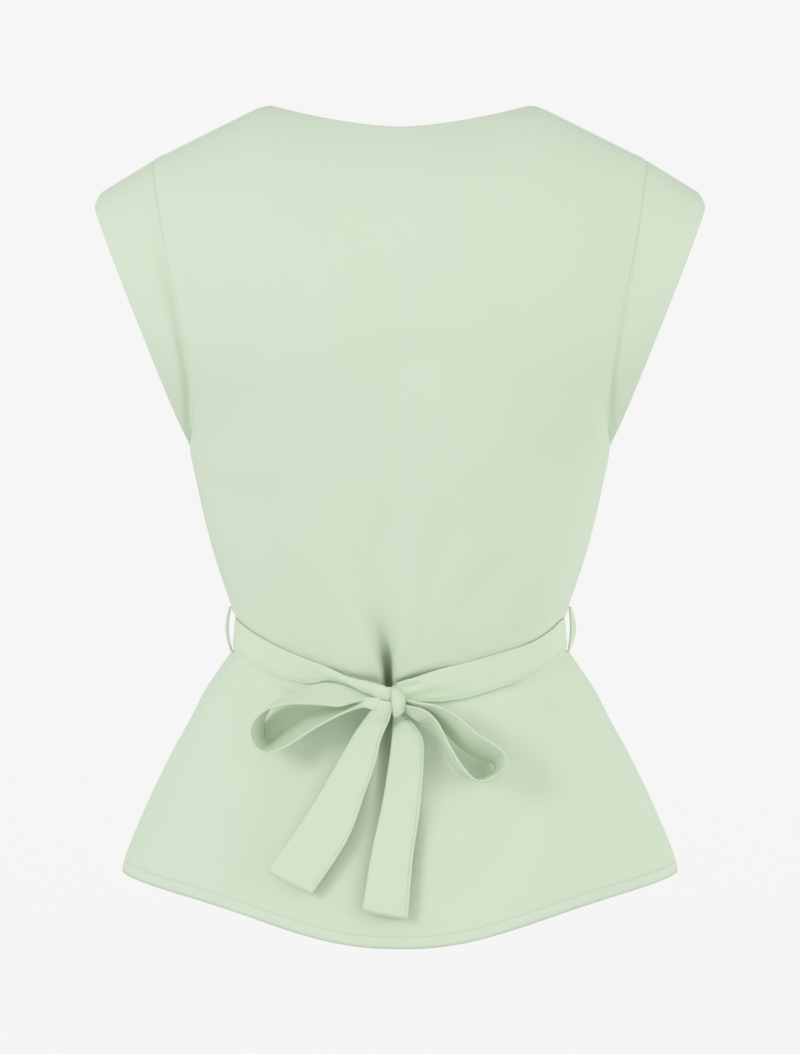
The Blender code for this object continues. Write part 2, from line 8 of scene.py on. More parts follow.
# %% Load the frame and keep its box
import math
import bpy
import numpy as np
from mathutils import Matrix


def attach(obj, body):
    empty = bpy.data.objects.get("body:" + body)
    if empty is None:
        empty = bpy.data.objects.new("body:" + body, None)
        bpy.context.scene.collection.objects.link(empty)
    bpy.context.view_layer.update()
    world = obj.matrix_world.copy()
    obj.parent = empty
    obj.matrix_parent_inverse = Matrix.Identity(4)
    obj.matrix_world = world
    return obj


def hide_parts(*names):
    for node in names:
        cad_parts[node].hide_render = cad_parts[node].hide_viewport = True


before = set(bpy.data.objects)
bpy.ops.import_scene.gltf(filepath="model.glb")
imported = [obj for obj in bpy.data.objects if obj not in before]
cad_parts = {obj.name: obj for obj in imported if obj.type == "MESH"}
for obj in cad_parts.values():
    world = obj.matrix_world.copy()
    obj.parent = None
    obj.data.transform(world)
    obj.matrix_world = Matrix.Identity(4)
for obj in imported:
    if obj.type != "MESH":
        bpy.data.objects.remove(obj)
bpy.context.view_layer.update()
print("nodes:", sorted(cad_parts))

# %% [markdown]
# ## The pattern's sizes
# Lengths are in millimetres, as a pattern cutter writes them, and turn into metres when a mesh is made. The
# garment's back faces -Y, +Z is up, and the origin is midway between the two neck points. The sizes could
# be read back from the frame's meshes, but named sizes say what they are, and a finer surface needs the
# curves between the frame's corners.

# %% Sizes shared with the frame
MM = 0.001
BACK, FRONT = -1.0, 1.0
CLOTH, TIE_CLOTH, BELT_CLOTH = 1.0, 1.6, 1.5
SEAM, SEAM_HALF = 0.3, 0.05
NECK_X, NECK_Z = 91.0, -1.9
SHOULDER_SLOPE, SHOULDER_START_X, SHOULDER_EASE = 0.4946, 96.0, 2.5
NAPE_Z, NAPE_POWER = -17.0, 1.6
V_NECK_Z, V_NECK_POWER = -150.0, 0.92
ROLL, BODY_POWER, HEM_POWER = 160.0, 0.85, 1.35
ARMHOLE_TOP_X, UNDERARM_Z, ARMHOLE_REACH, ARMHOLE_TURN_Z = 172.8, -241.4, 71.0, -156.0
HEM_Z, WAIST_TOP_Z, WAIST_END_Z = -549.0, -363.5, -388.6
FRONT_TIE_DROP, HEM_DROP = 5.0, {BACK: 27.0, FRONT: 8.0}
HEM_NARROWING, HEM_DIP_POWER = 2.81, 2.15
GATHER_ACROSS = -0.044

# Half width and depths of the body at heights measured on the side seam.
PROFILE_COLUMNS = ("height", "half_width", "back_depth", "front_depth")
PROFILE = (
    (0.0, 181.5, 104.0, 108.0), (-40.9, 172.8, 106.0, 110.0), (-70.8, 167.4, 107.0, 111.0),
    (-101.5, 161.9, 108.0, 112.0), (-128.7, 155.6, 108.5, 113.0), (-156.0, 149.6, 109.0, 114.0),
    (-183.9, 145.2, 109.0, 114.5), (-206.0, 143.6, 108.5, 114.0), (-229.0, 145.8, 107.5, 113.0),
    (-241.4, 148.5, 107.0, 112.5), (-266.0, 144.4, 105.0, 110.5), (-299.0, 137.2, 101.0, 106.0),
    (-320.0, 131.6, 98.0, 102.0), (-342.0, 124.6, 93.5, 96.0), (-354.0, 120.6, 90.0, 91.5),
    (-360.0, 119.0, 88.2, 89.0), (-363.5, 115.8, 85.2, 85.9), (-376.0, 116.8, 85.2, 85.9),
    (-388.6, 118.4, 85.4, 86.2), (-391.5, 121.4, 87.0, 87.8), (-397.0, 125.4, 89.6, 90.4),
    (-404.0, 130.2, 93.0, 93.8), (-417.5, 139.2, 99.0, 100.0), (-439.0, 150.3, 105.5, 106.5),
    (-461.0, 162.6, 112.0, 113.0), (-483.0, 173.6, 118.0, 119.0), (-505.0, 183.8, 123.0, 124.0),
    (-527.0, 193.3, 127.5, 128.5), (-540.0, 198.0, 129.5, 130.5), (-549.0, 199.6, 131.0, 132.0),
)
# How far the back dips at the belt's top edge, against the share of the way round, minus on the left.
TIE_LINE_COLUMNS = ("across", "drop")
TIE_LINE = (
    (-1.0, 0.0), (-0.835, 1.4), (-0.686, 5.9), (-0.455, 16.3), (-0.299, 24.0), (-0.199, 30.2),
    (-0.10, 35.0), (-0.03, 36.5), (0.04, 31.5), (0.144, 25.8), (0.272, 21.2), (0.372, 17.4),
    (0.574, 10.9), (0.726, 4.6), (0.85, 0.4), (1.0, 0.0),
)
# The gather of the back: a hollow that wanders left of the centre, then a sharp fold at the knot.
FOLD_COLUMNS = ("height", "centre", "depth", "spread")
FOLD = (
    (-113.0, 0.0, 0.0, 40.0), (-150.0, -9.0, 0.8, 36.0), (-201.0, -20.0, 2.2, 32.0),
    (-256.0, -28.0, 3.4, 27.0), (-297.0, -23.0, 4.6, 21.0), (-320.0, -15.0, 7.0, 12.5),
    (-338.0, -10.0, 12.0, 7.0), (-346.0, -9.0, 17.0, 4.9), (-354.0, -8.4, 21.0, 3.4),
    (-363.5, -8.0, 22.0, 2.8), (-388.6, -7.4, 18.0, 4.0), (-400.0, -6.5, 11.0, 6.0),
    (-424.0, -5.0, 5.5, 9.0), (-450.0, -4.0, 4.0, 12.0), (-490.0, -4.0, 3.5, 20.0),
    (-549.0, -4.0, 2.0, 28.0),
)
# The cloth that swells on both sides of the gather.
SWELL_COLUMNS = ("height", "lift")
SWELL = (
    (-290.0, 0.0), (-330.0, 1.5), (-350.0, 3.0), (-359.0, 2.5), (-363.5, 0.0),
    (-388.6, 0.0), (-396.0, 2.0), (-410.0, 3.5), (-450.0, 2.0), (-549.0, 1.0),
)
SWELL_X, SWELL_SPREAD = 15.0, 12.0

# %% [markdown]
# ## Reading a table as a smooth curve
# A tailor's curve passes through the marked points and never swings past them. A spline with free handles
# would overshoot between close marks, so a monotone cubic is used: the slope at a mark is the harmonic mean
# of the slopes beside it, or nought where the curve turns round.

# %% Smooth reading of a table's column
def reader(table, names, name):
    """A function of an array: one column against the first, as a monotone cubic through the rows."""
    rows = np.array(sorted(table), float)
    at_rows, values = rows[:, 0], rows[:, names.index(name)]
    slopes = np.diff(values) / np.diff(at_rows)
    product = slopes[:-1] * slopes[1:]
    total = slopes[:-1] + slopes[1:]
    inner = np.where(product > 0, 2 * product / np.where(product > 0, total, 1.0), 0.0)
    tangents = np.concatenate([slopes[:1], inner, slopes[-1:]])

    def read(at):
        at = np.clip(np.asarray(at, float), at_rows[0], at_rows[-1])
        i = np.clip(np.searchsorted(at_rows, at, "right") - 1, 0, len(at_rows) - 2)
        step = at_rows[i + 1] - at_rows[i]
        t = (at - at_rows[i]) / step
        return ((2 * t**3 - 3 * t**2 + 1) * values[i] + (t**3 - 2 * t**2 + t) * step * tangents[i]
                + (3 * t**2 - 2 * t**3) * values[i + 1] + (t**3 - t**2) * step * tangents[i + 1])

    return read


half_width = reader(PROFILE, PROFILE_COLUMNS, "half_width")
depth_of = {BACK: reader(PROFILE, PROFILE_COLUMNS, "back_depth"),
            FRONT: reader(PROFILE, PROFILE_COLUMNS, "front_depth")}
tie_drop = reader(TIE_LINE, TIE_LINE_COLUMNS, "drop")
fold_centre, fold_depth, fold_spread = (reader(FOLD, FOLD_COLUMNS, n) for n in FOLD_COLUMNS[1:])
swell_lift = reader(SWELL, SWELL_COLUMNS, "lift")
print("waist half width:", float(half_width(WAIST_TOP_Z)), "mm")


def ease(t):
    """A smooth step from 0 to 1."""
    t = np.clip(t, 0.0, 1.0)
    return t * t * (3.0 - 2.0 * t)


def bump(v, centre, spread):
    """A soft hump of height 1."""
    return np.exp(-((v - centre) / spread)**2)


# %% [markdown]
# ## The body as one formula
# The cloth is a tube that is wide at the shoulders, drawn in at the waist and wide again at the hem. A
# cloth simulation could drape it, but it could also leave the space that the frame gives it, and a formula
# stays where it is put. Every level section is a squared ellipse, x = width * sin(turn) and y = depth *
# cos(turn) ** power, which stops at the armhole seam above the underarm. Near the shoulder the depth grows
# like a quarter of an ellipse with the distance below the shoulder line, so the cloth rolls over the
# shoulder. The waist rows dip along the tie's line, and the hem rows dip to a round tail.

# %% Shoulder, neck and armhole
def shoulder_z(x):
    """Height of the shoulder line: level inside the neck point, an even slope outside it."""
    run = (np.abs(x) - SHOULDER_START_X) / SHOULDER_EASE
    return NECK_Z - SHOULDER_SLOPE * SHOULDER_EASE * np.logaddexp(0.0, run)


def top_edge_z(side, x):
    """Height of the neck edge, and of the shoulder line beyond the neck point."""
    share = np.abs(x) / NECK_X
    low, power = (NAPE_Z, NAPE_POWER) if side == BACK else (V_NECK_Z, V_NECK_POWER)
    return np.minimum(low + (NECK_Z - low) * share**power, shoulder_z(x))


def armhole_y(z):
    """Distance of the armhole seam from the side plane: straight, then a quarter of an ellipse."""
    share = np.clip((ARMHOLE_TURN_Z - z) / (ARMHOLE_TURN_Z - UNDERARM_Z), 0.0, 1.0)
    return ARMHOLE_REACH * np.sqrt(1.0 - share**2)


def roll(below):
    """Share of the full depth at a distance below the shoulder line: a quarter of an ellipse."""
    share = np.clip(below, 0.0, ROLL) / ROLL
    return np.sqrt(1.0 - (1.0 - share)**2)


# %% The section, and points of a panel
EVENED = (-45.0, -30.0, -15.0, 0.0, 15.0, 30.0, 45.0)
EVENED_IN, EVENED_END_Z, EVENED_FADE = 0.14, -330.0, 40.0
TOP_PASSES, DIP_PASSES = 6, 12


def to_hem(height):
    """0 down to the belt's lower edge, 1 at the hem."""
    return ease((WAIST_END_Z - height) / (WAIST_END_Z - HEM_Z))


def section_power(height):
    """Power of the section's depth: blunt down to the belt, more pointed towards the hem."""
    return BODY_POWER + (HEM_POWER - BODY_POWER) * to_hem(height)


def seam_turn(side, height):
    """Turn at the armhole seam, which is a quarter of a circle at the underarm and below it."""
    open_share = np.clip(armhole_y(height) / depth_of[side](height), 0.0, 1.0)
    return np.where(height > UNDERARM_Z, np.arccos(open_share**(1 / section_power(height))), math.pi / 2)


def section(side, across, height):
    """x and depth on a level section: across runs from -1 to 1 between the armholes or side seams.

    Away from the seams the ellipse's width is evened over neighbouring heights, so that the cloth doesn't
    bend along a level line where the armhole ends.
    """
    turn = seam_turn(side, height)
    wide = half_width(height) / np.sin(turn)
    x = wide * np.sin(across * turn)
    nearby = [half_width(height + off) / np.sin(seam_turn(side, height + off)) for off in EVENED]
    even = np.mean(nearby, axis=0)
    share = ease((1.0 - np.abs(across)) / EVENED_IN) * ease((height - EVENED_END_Z) / EVENED_FADE)
    wide = wide + (np.maximum(even, wide) - wide) * share
    return x, depth_of[side](height) * np.maximum(1.0 - (x / wide)**2, 0.0)**(section_power(height) / 2)


def drop(side, across, height):
    """How far a row dips: along the tie's line at the waist, round at the hem."""
    at_tie = tie_drop(across) if side == BACK else FRONT_TIE_DROP * np.cos(across * math.pi / 2)**2
    to_waist = ease((UNDERARM_Z - height) / (UNDERARM_Z - WAIST_TOP_Z))
    at_hem = HEM_DROP[side] * np.exp(-np.abs(across * HEM_NARROWING)**HEM_DIP_POWER)
    return at_tie * to_waist * (1.0 - to_hem(height)) + at_hem * to_hem(height)


def upper_points(side, across, share):
    """Points between the top edge and the underarm level. The passes settle x, z and the edge above them."""
    x = across * ARMHOLE_TOP_X
    for _ in range(TOP_PASSES):
        z = top_edge_z(side, x) * (1.0 - share) + UNDERARM_Z * share
        x, y = section(side, across, z)
    return np.stack([x, side * (y * roll(shoulder_z(x) - z) + SEAM_HALF), z], -1)


def lower_points(side, across, height):
    """Points below the underarm, at a height measured on the side seam."""
    x, y = section(side, across, height)
    return np.stack([x, side * (y + SEAM_HALF), height - drop(side, across, height)], -1)


def on_back(x, z):
    """y of the plain back at places x, z below the underarm. The passes undo the dip of the rows."""
    height = np.asarray(z, float)
    for _ in range(DIP_PASSES):
        across = np.arcsin(np.clip(x / half_width(height), -1.0, 1.0)) / (math.pi / 2)
        height = z + drop(BACK, across, height)
    return BACK * section(BACK, across, height)[1]


print("neck point:", upper_points(BACK, np.array([NECK_X / ARMHOLE_TOP_X]), np.zeros(1))[0].round(1), "mm")


# %% [markdown]
# ## From arrays to meshes
# A piece is a grid of points. Its faces follow from the grid's shape, and a UV map in metres of cloth
# follows the surface for the weave. The wall could be a second grid with a rim of faces, but Solidify does
# that in one step and closes the edges.

# %% Lengths and normals on a grid
def filled(marks, spacing):
    """The marks, with even steps between each two so that none is longer than the spacing."""
    stretches = [np.linspace(a, b, math.ceil(abs(b - a) / spacing), endpoint=False)
                 for a, b in zip(marks, marks[1:])]
    return np.concatenate(stretches + [marks[-1:]])


def run_along(grid, axis):
    """Running length along the rows (axis 1) or down the columns (axis 0) of a grid."""
    step = np.linalg.norm(np.diff(grid, axis=axis), axis=-1)
    start = np.zeros_like(grid[..., 0]).take([0], axis=axis)
    return np.concatenate([start, np.cumsum(step, axis=axis)], axis=axis)


def normals(grid):
    """Outward unit normal at each point: down the columns crossed with along the rows."""
    normal = np.cross(np.gradient(grid, axis=0), np.gradient(grid, axis=1))
    return normal / np.maximum(np.linalg.norm(normal, axis=-1, keepdims=True), 1e-9)


def moved_out(grid, amount):
    """A grid moved along its own normal by an amount for each point."""
    return grid + normals(grid) * np.asarray(amount)[..., None]


# %% Mesh of a grid
def piece_from(name, points, faces, material, uv=None):
    """A smooth mesh object from arrays, in its place, with its cloth and its body."""
    mesh = bpy.data.meshes.new(name)
    mesh.from_pydata((points * MM).tolist(), [], faces)
    mesh.shade_smooth()
    if uv is not None:
        layer = mesh.uv_layers.new(name="cloth")
        corners = np.empty(len(mesh.loops), np.int32)
        mesh.loops.foreach_get("vertex_index", corners)
        layer.data.foreach_set("uv", (uv.reshape(-1, 2) * MM)[corners].ravel())
    mesh.materials.append(material)
    item = bpy.data.objects.new(name, mesh)
    bpy.context.scene.collection.objects.link(item)
    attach(item, "root")
    return item


def quads(index):
    """Quads between neighbouring rows and columns of an array of vertex numbers."""
    return np.stack([index[:-1, :-1], index[1:, :-1], index[1:, 1:], index[:-1, 1:]], -1).reshape(-1, 4)


def sewn(name, grid, wall, material, node, offset=-1.0):
    """A grid made cloth: a mesh, its wall, and the frame node that it stands for."""
    u, v = run_along(grid, 1), run_along(grid, 0)
    index = np.arange(grid[..., 0].size).reshape(grid.shape[:2])
    item = piece_from(name, grid.reshape(-1, 3), quads(index).tolist(), material,
                      np.stack([u - u[:, -1:] / 2, -v], -1))
    thick = item.modifiers.new("Wall", "SOLIDIFY")
    thick.thickness = wall * MM
    thick.offset = offset
    thick.use_even_offset = False
    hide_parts(node)
    print(name, "faces", len(item.data.polygons))
    return item


# %% [markdown]
# ## Shader maths as Python
# A node tree is easier to read as an expression. A small class wraps a socket, so that adding or
# multiplying two of them adds a Math node. Any other node comes from one method that takes its type,
# settings and inputs.

# %% Socket expressions
class Tree:
    """Adds nodes to one node tree, of a material or of the world."""

    def __init__(self, owner):
        owner.use_nodes = True
        self.owner, self.nodes, self.links = owner, owner.node_tree.nodes, owner.node_tree.links

    def node(self, kind, settings=None, out=0, **inputs):
        """A node of a type: its settings, then the values or links of its sockets by name or index."""
        made = self.nodes.new(kind)
        for key, value in (settings or {}).items():
            setattr(made, key, value)
        self.give(made, **inputs)
        return Socket(self, made.outputs[out])

    def give(self, node, **inputs):
        """Set or link sockets: a name with _ for a space, or _ and a number."""
        for key, value in inputs.items():
            socket = node.inputs[int(key[1:]) if key[0] == "_" else key.replace("_", " ")]
            if isinstance(value, Socket):
                self.links.new(value.socket, socket)
            else:
                socket.default_value = value


class Socket:
    """One output, with arithmetic."""

    def __init__(self, tree, socket):
        self.tree, self.socket = tree, socket

    def out(self, number):
        """Another output of the same node."""
        return Socket(self.tree, self.socket.node.outputs[number])

    def math(self, operation, other=0.0, flip=False):
        """A Math node on this value and another, or with the two the other way round."""
        a, b = (other, self) if flip else (self, other)
        return self.tree.node("ShaderNodeMath", {"operation": operation}, _0=a, _1=b)

    def __add__(self, other):
        return self.math("ADD", other)

    def __sub__(self, other):
        return self.math("SUBTRACT", other)

    def __rsub__(self, other):
        return self.math("SUBTRACT", other, flip=True)

    def __mul__(self, other):
        return self.math("MULTIPLY", other)

    __radd__, __rmul__ = __add__, __mul__


# %% [markdown]
# ## The crepe
# Crepe is woven from hard-twisted yarn that shrinks into a fine irregular pebble, about half a millimetre
# across. It is matt, with a faint bloom at grazing angles. A picture of cloth would blur up close and
# repeat, so the finish is worked out: two crossed waves broken up by noise give the yarns, finer noise
# gives the pebble, and slow noise moves the colour by a few parts in a hundred.

# %% Crepe material
# Numbers of two outputs: Object on Texture Coordinate, and the colour on Mix.
OBJECT_PLACE, MIXED_COLOUR = 3, 2
YARN, WARP_WANDER, WEFT_WANDER = 0.42, 5.0, 6.0
SLOW_SHARE, WEAVE_SHARE, WEAVE_HEIGHT, PEBBLE_HEIGHT = 0.7, 0.3, 0.6, 0.4


def crepe(name, colour, shade):
    """Matt crepe: two close colours mixed by slow noise and by the yarns, and a fine pebble as bump."""
    t = Tree(bpy.data.materials.new(name))
    on_cloth = t.node("ShaderNodeUVMap", {"uv_map": "cloth"})
    place = t.node("ShaderNodeTexCoord", out=OBJECT_PLACE)
    wander = t.node("ShaderNodeTexNoise", Vector=place, Scale=900.0, Detail=1.0)
    u = t.node("ShaderNodeSeparateXYZ", Vector=on_cloth)
    turns = 2 * math.pi / (YARN * MM)
    warp = (u * turns + wander * WARP_WANDER).math("SINE")
    weft = (u.out(1) * turns + wander * WEFT_WANDER).math("SINE")
    weave = warp * weft * 0.5 + 0.5
    pebble = t.node("ShaderNodeTexNoise", Vector=place, Scale=1500.0, Detail=2.0)
    slow = t.node("ShaderNodeTexNoise", Vector=place, Scale=14.0, Detail=3.0)
    share, height = slow * SLOW_SHARE + weave * WEAVE_SHARE, weave * WEAVE_HEIGHT + pebble * PEBBLE_HEIGHT
    mixed = t.node("ShaderNodeMix", {"data_type": "RGBA"}, out=MIXED_COLOUR, _0=share,
                   _6=(*shade, 1.0), _7=(*colour, 1.0))
    normal = t.node("ShaderNodeBump", Strength=0.35, Distance=0.00012, Height=height)
    t.give(t.nodes["Principled BSDF"], Base_Color=mixed, Normal=normal, Roughness=0.82, Sheen_Weight=0.10,
           Sheen_Roughness=0.5, Specular_IOR_Level=0.45)
    return t.owner


BODY_COLOUR, BODY_SHADE = (0.698, 0.795, 0.640), (0.674, 0.775, 0.614)
TIE_COLOUR, TIE_SHADE = (0.692, 0.802, 0.632), (0.668, 0.782, 0.604)
THREAD_COLOUR, THREAD_SHADE = (0.500, 0.660, 0.420), (0.430, 0.590, 0.350)
body_crepe = crepe("crepe_body", BODY_COLOUR, BODY_SHADE)
tie_crepe = crepe("crepe_tie", TIE_COLOUR, TIE_SHADE)
print("materials:", body_crepe.name, tie_crepe.name)


# %% [markdown]
# ## Thread
# Stitches are spun polyester, a little glossier and darker than the cloth. The twist is too fine to model,
# so a wave that runs slantwise across each stitch stands for it.

# %% Thread material
WAVE_VALUE = 1


def thread(name, colour, shade):
    """Twisted thread: slanting bands along each stitch, from a wave on the object's own place."""
    t = Tree(bpy.data.materials.new(name))
    place = t.node("ShaderNodeTexCoord", out=OBJECT_PLACE)
    twist = t.node("ShaderNodeTexWave", {"bands_direction": "DIAGONAL"}, out=WAVE_VALUE, Vector=place,
                   Scale=900.0, Distortion=1.0)
    mixed = t.node("ShaderNodeMix", {"data_type": "RGBA"}, out=MIXED_COLOUR, _0=twist,
                   _6=(*shade, 1.0), _7=(*colour, 1.0))
    normal = t.node("ShaderNodeBump", Strength=0.4, Distance=0.0001, Height=twist)
    t.give(t.nodes["Principled BSDF"], Base_Color=mixed, Normal=normal, Roughness=0.6)
    return t.owner


stitch_thread = thread("thread_mint", THREAD_COLOUR, THREAD_SHADE)
print("material:", stitch_thread.name)

# %% [markdown]
# ## Folds placed one by one
# Where the cloth is pulled it folds: a sharp gather above the knot, soft troughs that fan out from it, a
# long shallow valley left of the centre, and slack swells in the skirt. Simulated folds would fall where
# they like, so each one is listed, as a ridge or trough along a line from a start to an end, with
# its own depth, width and bend.

# %% A soft crease along a line
# Each row of a table of creases: start x and z, end x and z, depth, spread and bend.
CREASE_TAPER, CREASE_WIDENS = 0.35, 0.6


def crease(grid, start_x, start_z, end_x, end_z, depth, spread, bend):
    """A trough along a line in the x, z plane: a hump across it that fades towards both ends and widens."""
    length = math.hypot(end_x - start_x, end_z - start_z)
    ux, uz = (end_x - start_x) / length, (end_z - start_z) / length
    dx, dz = grid[..., 0] - start_x, grid[..., 2] - start_z
    along = (dx * ux + dz * uz) / length
    aside = dx * uz - dz * ux - bend * 4.0 * along * (1.0 - along)
    fade = ease(along / CREASE_TAPER + 0.5) * ease((1.0 - along) / CREASE_TAPER + 0.5)
    wide = spread * (1.0 + CREASE_WIDENS * np.clip(along, 0.0, 1.0))
    return -depth * bump(aside, 0.0, wide) * fade


def creased(grid, table):
    """The sum of all the creases of a table."""
    return sum(crease(grid, *row) for row in table)


BACK_CREASES = (
    (-13.0, -385.0, -44.0, -300.0, 0.9, 6.0, 3.0),
    (14.0, -384.0, 34.0, -290.0, 1.1, 6.0, -4.0),
    (22.0, -380.0, 76.0, -316.0, 0.9, 7.0, -4.0),
    (-24.0, -380.0, -84.0, -322.0, 0.8, 7.0, 4.0),
    (4.0, -372.0, 12.0, -250.0, -1.2, 8.0, 0.0),
    (30.0, -378.0, 50.0, -300.0, -1.0, 9.0, 0.0),
    (60.0, -350.0, 98.0, -226.0, 2.6, 22.0, 8.0),
    (100.0, -350.0, 60.0, -210.0, -1.6, 20.0, 4.0),
    (-10.0, -322.0, -14.0, -84.0, 3.4, 12.0, 17.0),
    (-74.0, -360.0, -98.0, -262.0, 1.4, 20.0, -6.0),
    (-86.0, -70.0, -40.0, -180.0, -1.4, 24.0, 6.0),
    (12.0, -300.0, 16.0, -190.0, -1.8, 14.0, 0.0),
    (138.0, -236.0, 84.0, -196.0, 0.9, 10.0, 3.0),
    (-139.0, -236.0, -90.0, -200.0, 0.8, 10.0, -3.0),
    (-56.0, -420.0, -110.0, -552.0, 6.0, 16.0, 6.0),
    (-62.0, -396.0, -112.0, -500.0, -3.0, 14.0, 6.0),
    (92.0, -466.0, 40.0, -548.0, 4.0, 14.0, -6.0),
    (60.0, -398.0, 160.0, -520.0, -3.2, 18.0, -6.0),
    (26.0, -406.0, 30.0, -500.0, 2.0, 12.0, -4.0),
    (98.0, -396.0, 180.0, -524.0, 3.0, 10.0, -4.0),
    (-98.0, -392.0, -182.0, -520.0, 3.2, 12.0, 4.0),
)
FRONT_CREASES = (
    (0.0, -360.0, 4.0, -190.0, 1.6, 16.0, -6.0),
    (-30.0, -362.0, -58.0, -270.0, 1.2, 9.0, 4.0),
    (34.0, -362.0, 66.0, -262.0, 1.3, 9.0, -4.0),
    (-72.0, -360.0, -96.0, -280.0, 0.9, 10.0, 3.0),
    (76.0, -360.0, 98.0, -286.0, 0.8, 10.0, -3.0),
    (138.0, -238.0, 80.0, -190.0, 1.4, 12.0, 4.0),
    (-138.0, -238.0, -82.0, -196.0, 1.3, 12.0, -4.0),
    (-18.0, -394.0, -54.0, -550.0, 3.0, 16.0, 5.0),
    (24.0, -394.0, 48.0, -552.0, 2.6, 15.0, -4.0),
    (-74.0, -392.0, -130.0, -540.0, 2.4, 15.0, 5.0),
    (82.0, -392.0, 140.0, -540.0, 2.6, 15.0, -5.0),
)
print("creases: back", len(BACK_CREASES), "front", len(FRONT_CREASES))

# %% [markdown]
# ## Gathers under the belt, seams and the turned hem
# Where the belt grips, the slack cloth stands in small uneven ripples that fade a few centimetres away.
# Along a seam the edge sinks a little, and the turned allowance under it lifts the cloth beside it. The hem
# is turned up 8 mm and stitched once, which leaves a slight step and a pucker at each few stitches. All of
# this is relief of less than a millimetre, so it is added along the surface's normal, and the grid's rows
# and columns lie closer where it changes fast.

# %% Ripples, seam and hem relief
HEM_TURN, HEM_STEP, HEM_STEP_OVER, HEM_STEP_FADE = 8.0, 0.35, 1.2, 2.0
HEM_GROOVE, HEM_GROOVE_SPREAD, HEM_PUCKER, HEM_PUCKER_SPREAD = 0.40, 0.8, 0.16, 5.0
HEM_PUCKER_RATE, HEM_PUCKER_DRIFT = 190.0, 71.0
# Each ripple: rate, shift and size.
RIPPLES = ((23.0, 0.4, 0.30), (37.0, 1.9, 0.21), (61.0, 4.1, 0.13))
RIPPLES_ABOVE, RIPPLES_BELOW, RIPPLES_START = 46.0, 60.0, 3.0
ALLOWANCE_END, ALLOWANCE_FADE, ALLOWANCE_LIFT = 9.0, 3.0, 0.3
SEAM_SINK, SEAM_SPREAD, CORNER_SPREAD = 0.55, 0.9, 12.0


def ripples(across, height):
    """Small waves round the waist, strongest beside the belt and gone a few centimetres from it."""
    up, down = height - WAIST_TOP_Z, WAIST_END_Z - height
    above = ease(1.0 - up / RIPPLES_ABOVE) * ease(up / RIPPLES_START)
    below = ease(1.0 - down / RIPPLES_BELOW) * ease(down / RIPPLES_START)
    return sum(size * np.sin(rate * across + shift) for rate, shift, size in RIPPLES) * (above + below)


def seam_relief(off_seam, height):
    """Beside a seam: sunk at its line, raised over the allowance, level beyond it and at the underarm."""
    raised = ALLOWANCE_LIFT * ease((ALLOWANCE_END - off_seam) / ALLOWANCE_FADE)
    sunk = SEAM_SINK * bump(off_seam, 0.0, SEAM_SPREAD)
    return (raised - sunk) * (1.0 - bump(height, UNDERARM_Z, CORNER_SPREAD))


def hem_relief(across, height):
    """A soft ledge over the turned hem, a groove at its stitch row and small puckers beside it."""
    up = height - HEM_Z
    ledge = HEM_STEP * ease((HEM_TURN + HEM_STEP_OVER - up) / HEM_STEP_FADE)
    pucker = np.sin(across * HEM_PUCKER_RATE) * np.sin(across * HEM_PUCKER_DRIFT + 1.0)
    pucker = pucker * bump(up, HEM_TURN, HEM_PUCKER_SPREAD)
    return ledge - HEM_GROOVE * bump(up, HEM_TURN, HEM_GROOVE_SPREAD) + HEM_PUCKER * pucker


# %% Rows and columns of a panel
ARMHOLE_MARKS = (0.0, 0.012, 0.048, 0.106, 0.187, 0.288, 0.404, 0.53, 0.65, 0.76, 0.85, 0.925, 0.985, 1.0)
HEM_MARKS = [HEM_Z + HEM_TURN + off for off in (4.0, 2.4, 1.4, 0.8, 0.4, 0.0, -0.4, -0.8, -1.4, -2.4)]
SIDE_MARKS = [UNDERARM_Z, -330.0, -352.0, -359.0, WAIST_TOP_Z, WAIST_END_Z, -392.0, -400.0, *HEM_MARKS, HEM_Z]
SEAM_MARKS = np.array([0.0, 0.003, 0.007, 0.012, 0.02])
ROW_SPACING, COLUMNS, CLOSER = {BACK: 3.0, FRONT: 3.4}, {BACK: 191, FRONT: 121}, 2.2
ROWS_PER_MARK, LAST_MARK = 6, len(ARMHOLE_MARKS) - 1
mark_steps = np.arange(LAST_MARK * ROWS_PER_MARK + 1) * (1 / ROWS_PER_MARK)
armhole_shares = np.interp(mark_steps, np.arange(LAST_MARK + 1), ARMHOLE_MARKS)
print("rows above the underarm:", len(armhole_shares))


def shares_across(centre, count):
    """Shares of the way round, packed closer at the gather (as a hyperbolic sine) and at both seams."""
    turn = np.linspace(-1, 1, count)
    packed = centre + (1.0 - np.sign(turn) * centre) * np.sinh(CLOSER * turn) / math.sinh(CLOSER)
    packed = packed[np.abs(packed) < 1.0 - SEAM_MARKS[-1]]
    return np.concatenate([SEAM_MARKS - 1.0, packed, 1.0 - SEAM_MARKS[::-1]])


# %% Back and front panels
BELT_MARGIN, SEAM_CALM, SHOULDER_CALM = 4.0, 18.0, 40.0


